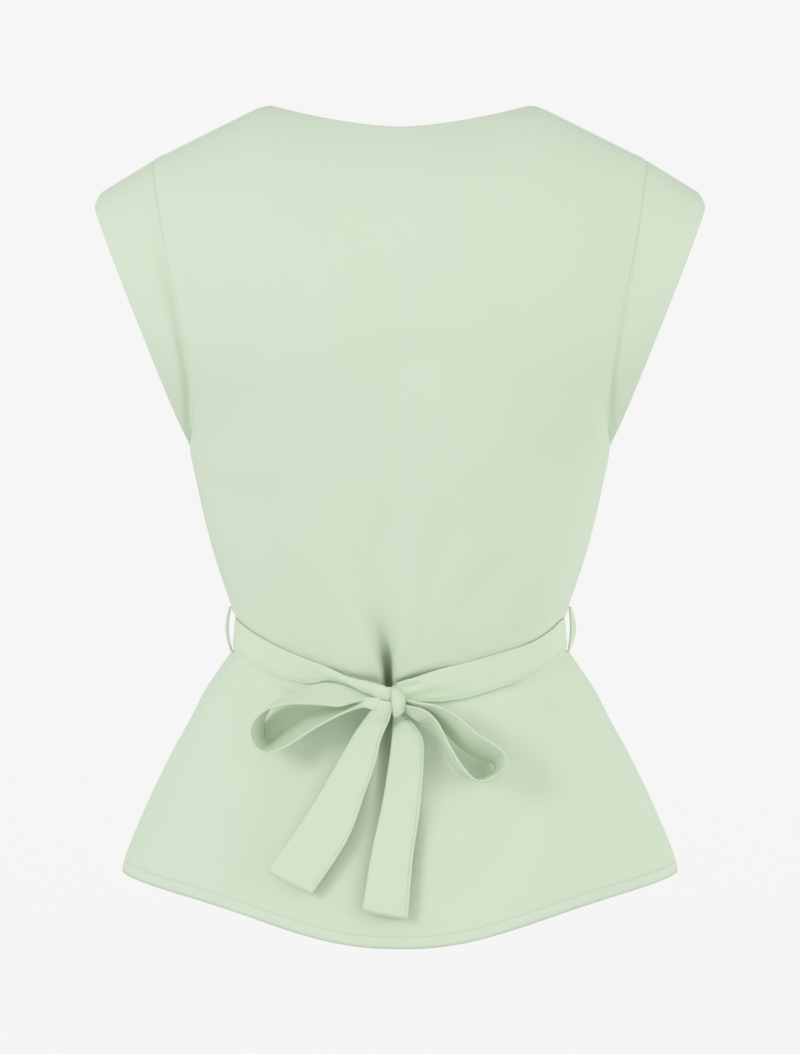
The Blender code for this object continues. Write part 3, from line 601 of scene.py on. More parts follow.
def panel(side, across, creases):
    """A whole panel: the plain formula, then the gather, swells, creases, ripples, seams and hem on it."""
    share = armhole_shares[:, None]
    height = filled(SIDE_MARKS, ROW_SPACING[side])[1:, None]
    upper = upper_points(side, across[None, :] + 0 * share, share + 0 * across)
    lower = lower_points(side, across[None, :] + 0 * height, height + 0 * across)
    grid = np.concatenate([upper, lower])
    level = np.concatenate([upper[..., 2], height + 0 * across])
    if side == BACK:
        aside = grid[..., 0] - fold_centre(level)
        hollow = bump(aside, 0.0, fold_spread(level))
        grid[..., 1] += fold_depth(level) * hollow
        grid[..., 1] -= swell_lift(level) * bump(np.abs(aside), SWELL_X, SWELL_SPREAD) * (1.0 - hollow)
    off_seam = np.minimum(run_along(grid, 1), run_along(grid[:, ::-1], 1)[:, ::-1])
    under_top = ease((WAIST_TOP_Z + BELT_MARGIN - level) / BELT_MARGIN)
    over_end = ease((level - WAIST_END_Z + BELT_MARGIN) / BELT_MARGIN)
    off_belt = 1.0 - under_top * over_end
    off_top = ease((shoulder_z(grid[..., 0]) - grid[..., 2]) / SHOULDER_CALM)
    soft = (creased(grid, creases) + ripples(across, level)) * ease(off_seam / SEAM_CALM) * off_top
    relief = (soft + seam_relief(off_seam, level)) * off_belt + hem_relief(across, level)
    return moved_out(grid, relief), level


back_grid, back_level = panel(BACK, shares_across(GATHER_ACROSS, COLUMNS[BACK]), BACK_CREASES)
front_grid, front_level = panel(FRONT, shares_across(0.0, COLUMNS[FRONT])[::-1], FRONT_CREASES)
back = sewn("back_cloth", back_grid, CLOTH, body_crepe, "back_panel")
front = sewn("front_cloth", front_grid, CLOTH, body_crepe, "front_panel")

# %% [markdown]
# ## The caps
# A cap is a strip round the armhole that carries the shoulder line outward. It could be bent from a flat
# strip, but both its edges are known: one is the armhole seam and the free one lies in a slanting plane. So
# it is ruled between them and then shaped. Right beside the seam the cloth sinks below the panel's edge,
# deepest past half way down, and rises again within a centimetre. Its inner edge is tucked under the
# panels, as a seam allowance is.

# %% Cap sizes and surface
CAP_TOP_Z, CAP_TIP_X, CAP_TIP_Z, CAP_TIP_ROUND = -62.0, 212.5, -73.6, 3.6
CAP_REACH, CAP_REACH_POWER, CAP_EDGE_IN, CAP_EDGE_BOW = 58.0, 0.9, 0.8, 1.2
CAP_END_WIDTH, CAP_END_SHARE, CAP_AXIS_Z = 1.5, 0.9, -150.0
CAP_FULL_SHARE, CAP_FADE_SHARE = 0.75, 0.8
CAP_TUCK, CAP_TUCK_SINK, CAP_INSIDE = 2.5, 1.3, 0.97
CAP_DIP_FROM, CAP_DIP_FULL, CAP_DIP_FADE, CAP_DIP_END = 0.16, 0.62, 0.70, 0.88
CAP_GROWS, CAP_DIP_GROWS, CAP_DIP_LEAST, CAP_SINK_LEAST = 8.0, 1.8, 3.0, 1.5
CAP_EDGE_POINTS = 241
cap_share = filled([0.0, 0.01, 0.03, 0.06, 0.1, 0.3, 0.95, 1.0], 0.035)
# For each cap: crown, dip's depth, its place off the seam and its spread.
CAP_DIPS = {"left": (1.6, 3.8, 2.4, 6.0), "right": (0.8, 1.6, 1.6, 3.6)}


def cap_edge(side):
    """The free edge: half of a flat oval in side view, on a slanting line that bows in from behind."""
    turn = np.linspace(0, math.pi, CAP_EDGE_POINTS)
    z = CAP_TOP_Z + (UNDERARM_Z - CAP_TOP_Z) * (1.0 - np.cos(turn)) / 2
    down = np.maximum((CAP_TIP_Z - z) / (CAP_TIP_Z - UNDERARM_Z), 0.0)
    above = np.maximum((z - CAP_TIP_Z) / (CAP_TOP_Z - CAP_TIP_Z), 0.0)
    end_x = half_width(UNDERARM_Z) - CAP_EDGE_IN
    x = CAP_TIP_X + (end_x - CAP_TIP_X) * down - CAP_EDGE_BOW * np.sin(math.pi * down)
    x -= CAP_TIP_ROUND * above**2
    return np.stack([x, side * CAP_REACH * np.maximum(np.sin(turn), 0.0)**CAP_REACH_POWER, z], -1)


def spaced(path):
    """Share of the whole length at each point of a path."""
    runs = np.concatenate([[0.0], np.cumsum(np.linalg.norm(np.diff(path, axis=0), axis=1))])
    return runs / runs[-1]


def cap_half(side, crown, dip_depth, dip_place, dip_spread):
    """Grid of half of the right cap, from the shoulder down to the underarm and from seam to free edge."""
    seam = upper_points(side, np.ones_like(armhole_shares), armhole_shares)
    inner = upper_points(side, np.full_like(armhole_shares, CAP_INSIDE), armhole_shares)
    away = (seam - inner) / np.linalg.norm(seam - inner, axis=1, keepdims=True)
    path, run = cap_edge(side), spaced(seam)
    edge = np.stack([np.interp(run, spaced(path), path[:, k]) for k in range(3)], -1)
    ending = ease((run - CAP_END_SHARE) / (1.0 - CAP_END_SHARE))
    edge[:, 0] += (seam[:, 0] + CAP_END_WIDTH - edge[:, 0]) * ending
    out = seam * (0.0, 1.0, 1.0) - (0.0, 0.0, CAP_AXIS_Z)
    out /= np.linalg.norm(out, axis=1, keepdims=True)
    grown = np.sin(math.pi / 2 * np.minimum(run / CAP_FULL_SHARE, 1.0))
    low = (grown * (1.0 - ease((run - CAP_FADE_SHARE) / (1.0 - CAP_FADE_SHARE))))[:, None]
    dip = ease((run - CAP_DIP_FROM) / (CAP_DIP_FULL - CAP_DIP_FROM))
    dip = (dip * (1.0 - ease((run - CAP_DIP_FADE) / (CAP_DIP_END - CAP_DIP_FADE))))[:, None]
    c = cap_share[None, :]
    wide = np.linalg.norm(edge - seam, axis=1)[:, None]
    from_seam = c * wide
    dip = dip * dip_depth * ease((wide - CAP_DIP_LEAST) / CAP_GROWS)
    off = low * crown * np.sin(math.pi * c) * ease(from_seam / CAP_GROWS)
    off -= dip * bump(from_seam, dip_place, dip_spread) * ease(from_seam / CAP_DIP_GROWS)
    off -= SEAM_SINK * bump(from_seam, 0.0, SEAM_SPREAD) * ease((wide - CAP_SINK_LEAST) / CAP_GROWS)
    grid = seam[:, None] + (edge - seam)[:, None] * c[..., None] + off[..., None] * out[:, None]
    tuck = seam - away * CAP_TUCK - out * CAP_TUCK_SINK
    grid = np.concatenate([tuck[:, None], grid], axis=1)
    grid[..., 1] = side * np.maximum(side * grid[..., 1], SEAM_HALF)
    return grid


def cap_grid(hand):
    """Both halves joined over the shoulder, and mirrored for the left side."""
    front_half, back_half = cap_half(FRONT, *CAP_DIPS[hand]), cap_half(BACK, *CAP_DIPS[hand])
    crown = (front_half[:1] + back_half[:1]) / 2
    grid = np.concatenate([front_half[:0:-1], crown, back_half[1:]])
    return grid[::-1] * (-1.0, 1.0, 1.0) if hand == "left" else grid


cap_right_grid = cap_grid("right")
cap_right = sewn("cap_cloth_right", cap_right_grid, CLOTH, body_crepe, "cap_right")
cap_left = sewn("cap_cloth_left", cap_grid("left"), CLOTH, body_crepe, "cap_left")

# %% [markdown]
# ## The belt
# The tie belt is a strip folded along its length, so one edge is a soft fold and the other is topstitched.
# It runs down from the side loops to the knot, and its left end rolls into a narrow tube before it goes in.
# The belt lies on the body, so it is made as the body's own formula between two heights, moved straight
# out, and can't cut into the cloth under it.

# %% Belt sizes and surface
BELT_COLUMNS = ("across", "top", "bottom", "lift")
BELT_RIGHT = (
    (-0.014, -362.6, -376.0, 6.0), (0.026, -363.0, -378.6, 5.6), (0.058, -363.5, -380.8, 4.4),
    (0.1, -363.5, -383.6, 2.8), (0.168, -363.5, -387.0, 1.2), (0.273, -363.5, -388.3, 0.1),
    (0.41, -363.5, -387.6, 0.0), (0.55, -363.5, -385.6, 0.0), (1.0, -363.5, -385.0, 0.0),
)
BELT_LEFT = (
    (0.02, -363.6, -375.6, 12.0), (0.038, -363.0, -374.6, 13.0), (0.046, -362.6, -373.8, 14.0),
    (0.073, -361.8, -371.6, 15.0), (0.117, -361.2, -370.0, 12.5), (0.165, -363.0, -370.0, 8.0),
    (0.207, -363.5, -370.5, 4.6), (0.25, -363.5, -371.5, 2.2), (0.299, -363.5, -374.8, 0.4),
    (0.339, -363.5, -378.8, 0.0), (0.395, -363.5, -381.8, 0.0), (0.538, -363.5, -384.2, 0.0),
    (1.0, -363.5, -385.0, 0.0),
)
BELT_FRONT_TOP, BELT_FRONT_BOTTOM, BELT_FRONT_FULL = -363.5, -388.0, 0.7
BELT_NEARBY, BELT_SPACING, BELT_FRONT_COLUMNS = 0.01, 0.008, 120
TIE_STITCH_IN, TIE_GROOVE, TIE_GROOVE_SPREAD = 2.0, 0.32, 0.6
TIE_PUCKER, TIE_PUCKER_STEP, TIE_PUCKER_DRIFT, TIE_PUCKER_SPREAD = 0.10, 1.9, 7.0, 2.0
TIE_EDGE_FALL, TIE_EDGE_SPREAD = 0.5, 0.7
belt_share = filled([0.0, 0.02, 0.05, 0.1, 0.84, 0.88, 0.94, 0.98, 1.0], 0.05)


def belt_stretch(side, across, top, bottom, lift):
    """Grid of a stretch of belt: the plain body between two heights, moved straight out."""
    height = top[None, :] + (bottom - top)[None, :] * belt_share[:, None]
    level = across[None, :] + 0 * height
    here = lower_points(side, level, height)
    run = lower_points(side, level + BELT_NEARBY, height) - lower_points(side, level - BELT_NEARBY, height)
    normal = np.stack([-run[..., 1], run[..., 0], 0 * run[..., 0]], -1) * side
    normal = np.where(np.abs(level)[..., None] == 1.0, level[..., None] * (1.0, 0.0, 0.0), normal)
    normal /= np.linalg.norm(normal, axis=-1, keepdims=True)
    return here + normal * (SEAM + TIE_CLOTH + lift[None, :])[..., None]


def belt_grid():
    """The whole belt as one strip, from the knot's right round the front to the knot's left."""
    stretches = []
    for table, hand in ((BELT_RIGHT, 1.0), (BELT_LEFT, -1.0)):
        away = filled([row[0] for row in table], BELT_SPACING)[::int(hand)]
        top, bottom, lift = (reader(table, BELT_COLUMNS, n)(away) for n in BELT_COLUMNS[1:])
        stretches.append(belt_stretch(BACK, hand * away, top, bottom, lift))
    across = np.linspace(1.0, -1.0, BELT_FRONT_COLUMNS)[1:-1]
    end = ease((np.abs(across) - BELT_FRONT_FULL) / (1.0 - BELT_FRONT_FULL))
    bottom = BELT_FRONT_BOTTOM + (BELT_RIGHT[-1][2] - BELT_FRONT_BOTTOM) * end
    middle = belt_stretch(FRONT, across, 0 * across + BELT_FRONT_TOP, bottom, 0 * across)
    return np.concatenate([stretches[0], middle, stretches[1]], axis=1)


def strip_edges(off_fold, wide, run):
    """Relief of a strip of the tie: both edges rounded, and a groove and puckers at its stitch row."""
    off_edge = wide - off_fold
    pucker = TIE_PUCKER * np.sin(run / TIE_PUCKER_STEP) * np.sin(run / TIE_PUCKER_DRIFT + 1.0)
    pucker = pucker * bump(off_edge, TIE_STITCH_IN, TIE_PUCKER_SPREAD)
    groove = TIE_GROOVE * bump(off_edge, TIE_STITCH_IN, TIE_GROOVE_SPREAD)
    stitched, folded = (TIE_EDGE_FALL * bump(off, 0.0, TIE_EDGE_SPREAD) for off in (off_edge, off_fold))
    return pucker - groove - stitched - folded


# %% Folds of the belt near the knot
ROLLED_FROM, ROLLED_FULL, ROLLED_HIGH = -62.0, -38.0, 2.4
WRAP_X, WRAP_WIDE, WRAP_RISE = -29.6, 0.8, 0.7
RIM_X, RIM_WIDE, RIM_RISE, RIM_DIP_BEFORE, RIM_DIP_WIDE, RIM_DIP = -8.9, 0.8, 0.8, 2.2, 0.7, 0.5
BELT_CREASES = (
    (-6.0, -401.2, 15.0, -399.2, 1.8, 1.5, 0.3),
    (-2.0, -408.0, 32.0, -404.0, 0.7, 1.8, 0.0),
    (4.0, -404.4, 40.0, -396.0, -0.7, 3.4, 0.0),
    (30.0, -392.0, 78.0, -378.0, 0.5, 5.0, 0.0),
)


def belt_relief(grid):
    """The left end rolled into a tube, the turn of its wrap, its rim by the knot, and the edges."""
    run, down = run_along(grid, 1), run_along(grid, 0)
    wide = down[-1:]
    x, share = grid[..., 0], down / wide
    behind = grid[..., 1] < 0.0
    rolled = ease((x - ROLLED_FROM) / (ROLLED_FULL - ROLLED_FROM)) * (x < 0.0) * behind
    tube = rolled * ROLLED_HIGH * (1.0 - (2.0 * share - 1.0)**2 - 0.5)
    wrap = rolled * WRAP_RISE * ease((x - WRAP_X) / WRAP_WIDE)
    rim_dip = RIM_DIP * bump(x, RIM_X - RIM_DIP_BEFORE, RIM_DIP_WIDE)
    rim = rolled * RIM_RISE * (bump(x, RIM_X, RIM_WIDE) - rim_dip)
    edges = strip_edges(down, wide, run) * (1.0 - rolled)
    return tube + wrap + rim + edges + creased(grid, BELT_CREASES) * behind


belt_plain = belt_grid()
belt_shaped = moved_out(belt_plain, belt_relief(belt_plain))
belt = sewn("belt_cloth", belt_shaped, BELT_CLOTH, tie_crepe, "belt_band")

# %% [markdown]
# ## The bow
# Each loop of the bow is a ribbon that stands on its edge: one edge towards the viewer, one against the
# cloth. A strip carried along one path would have to be twisted by hand, so each loop is ruled between its
# two edges, and each edge is a smooth curve through a few points. The two free ends hang in front of the
# skirt, a little curled across.

# %% Bow sizes
# Each row of a loop: x, y, z of the near edge, then of the far edge.
LOOP_LEFT = (
    (-10.5, -98.5, -411.5, -10.5, -94.5, -409.5), (-21.0, -101.0, -408.6, -21.0, -93.0, -405.4),
    (-31.0, -107.0, -408.6, -31.5, -92.0, -402.6), (-42.0, -113.0, -410.5, -41.5, -91.5, -399.5),
    (-55.5, -115.0, -409.0, -55.0, -91.0, -398.5), (-74.5, -114.5, -408.5, -71.5, -88.5, -404.5),
    (-90.5, -111.0, -412.5, -87.0, -82.5, -413.5), (-100.5, -107.5, -421.5, -93.5, -78.5, -423.0),
    (-103.0, -106.0, -431.5, -95.0, -77.0, -432.0), (-99.0, -106.5, -439.5, -94.0, -77.0, -439.0),
    (-90.0, -108.0, -443.0, -88.5, -79.0, -439.5), (-75.0, -111.0, -437.0, -77.0, -83.5, -430.5),
    (-57.0, -113.0, -425.0, -59.5, -89.0, -419.0), (-40.5, -111.5, -416.5, -41.0, -95.0, -414.0),
    (-27.0, -106.5, -412.5, -25.0, -99.5, -407.5), (-17.5, -103.5, -415.0, -12.5, -101.0, -407.0),
)
LOOP_RIGHT = (
    (3.4, -99.0, -408.4, 3.4, -95.0, -410.5), (14.5, -107.0, -409.5, 14.0, -97.0, -416.5),
    (25.0, -112.0, -410.5, 22.5, -96.5, -422.0), (38.0, -117.0, -416.0, 31.5, -96.0, -432.0),
    (52.0, -119.0, -427.5, 44.0, -96.0, -443.5), (65.0, -118.5, -436.0, 56.5, -95.5, -450.0),
    (72.0, -116.0, -443.5, 64.0, -95.0, -453.0), (72.0, -114.5, -451.0, 65.0, -95.0, -457.0),
    (64.5, -114.0, -458.0, 60.0, -95.0, -460.0), (53.0, -115.0, -460.5, 50.5, -95.0, -461.5),
    (42.5, -117.0, -450.0, 39.0, -95.5, -456.0), (32.5, -116.0, -434.0, 29.0, -96.0, -439.5),
    (25.0, -113.5, -420.5, 21.5, -96.5, -427.0), (16.0, -109.0, -413.5, 12.0, -98.0, -422.5),
    (3.4, -101.5, -411.5, 4.4, -97.5, -417.0),
)
# Each row of a free end: x, z of the left edge, x, z of the right edge, then how far each lies off the back.
TAIL_LEFT = (
    (-13.0, -408.0, -3.6, -409.5, 17.5, 16.0), (-17.5, -412.5, -5.6, -415.0, 18.0, 16.5),
    (-24.0, -421.0, -8.0, -423.5, 16.8, 15.0), (-31.0, -431.0, -13.6, -436.5, 13.0, 12.0),
    (-41.0, -448.0, -16.4, -449.5, 10.0, 9.5), (-55.5, -473.0, -24.0, -470.5, 7.0, 10.0),
    (-70.5, -496.5, -36.0, -501.5, 5.0, 9.5), (-91.5, -526.5, -60.5, -539.0, 4.0, 8.0),
)
TAIL_RIGHT = (
    (-4.6, -420.0, 4.0, -421.0, 6.2, 6.6), (-5.2, -433.0, 12.0, -428.3, 8.0, 10.0),
    (-6.4, -444.0, 16.4, -437.8, 7.0, 10.0), (-8.8, -460.0, 15.8, -456.5, 6.0, 9.0),
    (-12.4, -480.0, 13.2, -483.8, 6.5, 7.0), (-19.4, -511.0, 8.5, -515.0, 6.5, 6.0),
    (-25.6, -548.7, 5.1, -554.8, 6.5, 5.0),
)
STRAND_CLEAR, TAIL_CURL = 3.0, 1.2
LOOP_STEPS, TAIL_STEPS = 9, 12
RIBBON_RELIEF = 0.5


def through(table, per_step):
    """Rows on a Catmull-Rom curve: at each row it runs parallel to the line between that row's neighbours."""
    rows = np.array(table, float)
    rows = np.concatenate([2 * rows[:1] - rows[1:2], rows, 2 * rows[-1:] - rows[-2:-1]])
    t = (np.arange(per_step) / per_step)[None, :, None]
    a, b, c, d = (rows[k:len(rows) - 3 + k, None] for k in range(4))
    curve = (2 * b + (c - a) * t + (2 * a - 5 * b + 4 * c - d) * t**2 + (3 * b - a - 3 * c + d) * t**3) / 2
    return np.concatenate([curve.reshape(-1, rows.shape[1]), rows[-2:-1]])


# %% Ribbons of the bow
strip_marks = filled([0.0, 0.03, 0.12, 0.88, 0.97, 1.0], 0.06)


def loop_grid(table):
    """A ribbon ruled between the near and far edges, its far edge kept clear of the back."""
    rows = through(table, LOOP_STEPS)
    near, far = rows[:, 0:3], rows[:, 3:6]
    too_deep = np.minimum(0.0, on_back(far[:, 0], far[:, 2]) - STRAND_CLEAR - far[:, 1])
    push = too_deep[:, None] * (0.0, 1.0, 0.0)
    c = strip_marks[:, None, None]
    return near + push + (far - near) * c


def tail_grid(table):
    """A hanging end: across from its left to its right edge, lifted off the back and a little curled."""
    rows = through(table, TAIL_STEPS)
    c = strip_marks[None, :]
    left_x, left_z, right_x, right_z, left_lift, right_lift = (rows[:, k:k + 1] for k in range(6))
    x, z = left_x + (right_x - left_x) * c, left_z + (right_z - left_z) * c
    lift = left_lift + (right_lift - left_lift) * c + TAIL_CURL * np.sin(math.pi * c)
    return np.stack([x, on_back(x, z) - lift, z], -1)


def ribbon(name, grid, node, across):
    """A strip of the tie: one edge folded, the other stitched, measured along the given axis of the grid."""
    off = run_along(grid, across)
    relief = strip_edges(off, off.take([-1], axis=across), run_along(grid, 1 - across))
    return sewn(name, moved_out(grid, RIBBON_RELIEF * relief), TIE_CLOTH, tie_crepe, node, 0.0)


loop_left = ribbon("bow_loop_cloth_left", loop_grid(LOOP_LEFT), "bow_loop_left", 0)
loop_right = ribbon("bow_loop_cloth_right", loop_grid(LOOP_RIGHT), "bow_loop_right", 0)
tail_left_grid, tail_right_grid = tail_grid(TAIL_LEFT), tail_grid(TAIL_RIGHT)
tail_left = ribbon("bow_tail_cloth_left", tail_left_grid, "bow_tail_left", 1)
tail_right = ribbon("bow_tail_cloth_right", tail_right_grid, "bow_tail_right", 1)

# %% [markdown]
# ## The knot
# The strip wraps once round the other strands, so the knot is a small upright oval, blunt above and pointed
# below. The strands inside it don't show. It is a stack of ovals whose two sides are read from a short
# table, with slight pleats in front.

# %% Knot surface
KNOT_COLUMNS = ("height", "left", "right", "front")
KNOT = (
    (-399.6, -4.6, -3.6, -97.0), (-400.4, -5.9, -1.6, -100.0), (-402.5, -6.7, 0.6, -103.2),
    (-405.5, -7.0, 2.7, -105.0), (-409.0, -7.0, 4.2, -105.9), (-412.5, -6.8, 4.5, -105.6),
    (-416.0, -6.2, 3.6, -104.6), (-419.0, -5.4, 1.2, -102.8), (-420.8, -4.6, -1.4, -100.2),
    (-421.4, -3.9, -2.6, -97.8),
)
KNOT_BACK_Y, KNOT_FRONT_SHARE, KNOT_BACK_SHARE, KNOT_ROUND = -88.5, 0.55, 0.45, 0.88
PLEAT_DEPTH, PLEAT_RATE, PLEAT_SLANT, PLEAT_MIDDLE_Z = 0.25, 7.0, 0.10, -410.0
PLEAT_OUTWARD, PLEAT_SPREAD = 0.9, 0.5
KNOT_ROWS, KNOT_SIDES = 41, 48


def knot_rings():
    """Ovals from the top down: between the left and right sides, and from the back to the front."""
    top, end = KNOT[0][0], KNOT[-1][0]
    height = np.linspace(top, end, KNOT_ROWS)[:, None]
    height = top + (end - top) * ease((top - height) / (top - end))
    left, right, front = (reader(KNOT, KNOT_COLUMNS, n)(height) for n in KNOT_COLUMNS[1:])
    turn = np.linspace(0, 2 * math.pi, KNOT_SIDES, endpoint=False)[None, :]
    across, outward, deep = np.sin(turn), np.cos(turn), KNOT_BACK_Y - front
    reach = np.where(outward > 0.0, deep * KNOT_FRONT_SHARE, deep * KNOT_BACK_SHARE)
    slant = (height - PLEAT_MIDDLE_Z) * PLEAT_SLANT
    pleat = PLEAT_DEPTH * np.sin(turn * PLEAT_RATE + slant) * bump(outward, PLEAT_OUTWARD, PLEAT_SPREAD)
    x = (left + right) / 2 + (right - left) / 2 * np.sign(across) * np.abs(across)**KNOT_ROUND
    y = front + deep * KNOT_FRONT_SHARE - reach * outward - pleat
    return np.stack([x, y, height + 0 * turn], -1)


def knot(name):
    """The rings joined, with a point at each end."""
    rings = knot_rings()
    rows, wide = rings.shape[:2]
    index = np.arange(rows * wide).reshape(rows, wide)
    index = np.concatenate([index, index[:, :1]], axis=1)
    points = np.concatenate([rings.reshape(-1, 3), rings[[0, -1]].mean(1)])
    first, last = rows * wide, rows * wide + 1
    ends = [[first, int(a), int(b)] for a, b in zip(index[0], index[0, 1:])]
    ends += [[last, int(b), int(a)] for a, b in zip(index[-1], index[-1, 1:])]
    flat = np.stack([points[:, 0] + points[:, 1], points[:, 2]], -1)
    item = piece_from(name, points, quads(index).tolist() + ends, tie_crepe, flat)
    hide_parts("bow_knot")
    print(name, "faces", len(item.data.polygons))


knot("bow_knot_cloth")

# %% [markdown]
# ## Belt loops
# A narrow turned strap stands off each side seam, and the belt runs through it. It is a flat strip that
# bows out half way down and turns as it does. The right one has turned further, so its width shows from
# behind. Turned cloth has no sharp edges, so a bevel softens them.

# %% Belt loops
STRAP_TOP_Z, STRAP_END_Z, STRAP_STANDS, STRAP_CLEAR = -357.5, -389.5, 2.8, 1.5
STRAP_WIDTH, STRAP_WALL, STRAP_SOFT = 5.2, 1.8, 0.5
STRAP_ROWS, STRAP_POINTS_ACROSS = 41, 9
STRAP_TURNS = {"left": math.radians(12.0), "right": math.radians(-45.0)}


def belt_loop(name, hand):
    """A strap that bows out from the side seam as a sine, furthest half way down, and turns as it does."""
    side = 1.0 if hand == "right" else -1.0
    down = np.linspace(0, 1, STRAP_ROWS)[:, None]
    c = side * np.linspace(-0.5, 0.5, STRAP_POINTS_ACROSS)[None, :] * STRAP_WIDTH
    bow = np.sin(math.pi * down)
    top_x, end_x = (half_width(z) + STRAP_CLEAR for z in (STRAP_TOP_Z, STRAP_END_Z))
    x = top_x + (end_x - top_x) * down + STRAP_STANDS * bow
    turn = STRAP_TURNS[hand] * bow
    z = STRAP_TOP_Z + (STRAP_END_Z - STRAP_TOP_Z) * down
    grid = np.stack([side * x - c * np.sin(turn), c * np.cos(turn), z + 0 * c], -1)
    item = sewn(name, grid, STRAP_WALL, body_crepe, "belt_loop_" + hand, 0.0)
    soft = item.modifiers.new("Soft edges", "BEVEL")
    soft.width = STRAP_SOFT * MM
    soft.segments = 2


for hand in ("left", "right"):
    belt_loop("belt_loop_cloth_" + hand, hand)

# %% [markdown]
# ## Stitches
# A stitch shows as a short thread that dips into the cloth at each end. Hundreds of separate objects would
# be slow to handle, so one stitch is drawn with a few faces, and the row is that shape repeated along a
# line of points on the finished cloth, all as one joined mesh.

# %% A row of stitches along a path on the cloth
STITCH_RINGS, STITCH_SIDES = 5, 5
STITCH_RISE, STITCH_SINK, STITCH_TAPER, STITCH_END = 0.22, 0.12, 1.85, 0.15
# Length, gap and radius of a stitch of each row.
HEM_STITCH, TIE_STITCH = (2.2, 0.7, 0.19), (1.9, 0.9, 0.15)


def stitch_points(path, up, length, gap, radius):
    """Bowed threads, high in the middle and sunk at the ends, as tubes at even steps on the path."""
    run = run_along(path[None], 1)[0]
    at = np.arange(gap, run[-1] - length, length + gap)
    centre, up = (np.stack([np.interp(at, run, v[:, k]) for k in range(3)], -1) for v in (path, up))
    up /= np.linalg.norm(up, axis=1, keepdims=True)
    along = np.gradient(centre, axis=0)
    along /= np.linalg.norm(along, axis=1, keepdims=True)
    side = np.cross(along, up)
    s = np.linspace(-0.5, 0.5, STITCH_RINGS)[None, :, None]
    angle = np.linspace(0, 2 * math.pi, STITCH_SIDES, endpoint=False)[None, None, :, None]
    rise = STITCH_RISE * (1 - 4 * s**2) - STITCH_SINK
    middle = centre[:, None] + along[:, None] * s * length + up[:, None] * rise
    thin = radius * np.sqrt(np.maximum(1.0 - (STITCH_TAPER * s)**2, STITCH_END))[..., None]
    around = side[:, None, None] * np.cos(angle) + up[:, None, None] * np.sin(angle)
    return middle[:, :, None] + around * thin


def stitches(name, lines, sizes):
    """All rows of stitches of one seam as one mesh: each line is a path and its normals."""
    tubes = np.concatenate([stitch_points(path, up, *sizes) for path, up in lines])
    index = np.arange(tubes[..., 0].size).reshape(tubes.shape[:3])
    beside = np.roll(index, -1, axis=2)
    sides = np.stack([index[:, :-1], beside[:, :-1], beside[:, 1:], index[:, 1:]], -1).reshape(-1, 4)
    ends = np.concatenate([index[:, 0, ::-1], index[:, -1]])
    print(name, "stitches", len(tubes))
    return piece_from(name, tubes.reshape(-1, 3), sides.tolist() + ends.tolist(), stitch_thread)


# %% Lines for the stitches
# The rolled end of the belt and the cloth beside the knot show no stitches, as far as this x on the right.
BARE_TO_X = 16.0


def line_on(grid, values, at):
    """The line on a grid where values that fall down each column reach a level, with its normals."""
    place = (values > at).sum(0) - 1
    columns = np.arange(grid.shape[1])
    t = ((values[place, columns] - at) / (values[place, columns] - values[place + 1, columns]))[:, None]
    up = normals(grid)
    return grid[place, columns] * (1 - t) + grid[place + 1, columns] * t, up[place, columns]


hem_lines = [line_on(grid, level, HEM_Z + HEM_TURN) for grid, level in
             ((back_grid, back_level), (front_grid, front_level))]
hem_stitches = stitches("hem_stitches", hem_lines, HEM_STITCH)

belt_down = run_along(belt_shaped, 0)
belt_line = line_on(belt_shaped, belt_down[-1:] - belt_down, TIE_STITCH_IN)
belt_x, belt_y = belt_line[0][:, 0], belt_line[0][:, 1]
bare = (belt_x > ROLLED_FROM) & (belt_x < BARE_TO_X) & (belt_y < 0.0)
tie_lines = [tuple(v[~bare] for v in belt_line)]
for strip in (tail_left_grid, tail_right_grid):
    turned = strip.transpose(1, 0, 2)
    off = run_along(turned, 0)
    path, up = line_on(turned, off[-1:] - off, TIE_STITCH_IN)
    tie_lines.append((path - up * TIE_CLOTH / 2, -up))
tie_stitches = stitches("tie_stitches", tie_lines, TIE_STITCH)

# %% [markdown]
# ## The area of each piece
# The area of each finished piece, as it is shaped when sewn, is printed in square metres. The belt, the
# loops and the free ends are stretches of one strip.

def area_of(grid):
    """Area of a grid in square metres."""
    a, b = grid[1:, :-1] - grid[:-1, :-1], grid[:-1, 1:] - grid[:-1, :-1]
    return float(np.linalg.norm(np.cross(a, b), axis=-1).sum() * MM * MM)


print("areas:", {n: round(area_of(g), 4) for n, g in (
    ("back", back_grid), ("front", front_grid), ("cap", cap_right_grid), ("belt", belt_shaped),
    ("loop_left", loop_grid(LOOP_LEFT)), ("loop_right", loop_grid(LOOP_RIGHT)),
    ("tail_left", tail_left_grid), ("tail_right", tail_right_grid))})

# %% [markdown]
# ## Studio
# The backdrop is a plain pale sweep, a floor that curves up into a wall, and it glows a little so that no
# shadow shows on it. Most light is broad and soft. The stronger lamp stands on the left, and the room's own
# light is a little stronger from the right and from the camera's side, so folds show as gentle shade.

# %% Backdrop
FLOOR_Z, FLOOR_START_Y, WALL_Y, WALL_TOP_Z, SWEEP, PAPER_HALF_WIDTH = -1.3, -4.0, 3.8, 4.0, 1.0, 5.0
PAPER, PAPER_GLOW, WHITE = (0.06, 0.06, 0.06, 1.0), 0.870, (1.0, 1.0, 1.0, 1.0)
SWEEP_STEPS, PAPER_STEPS = 24, 9


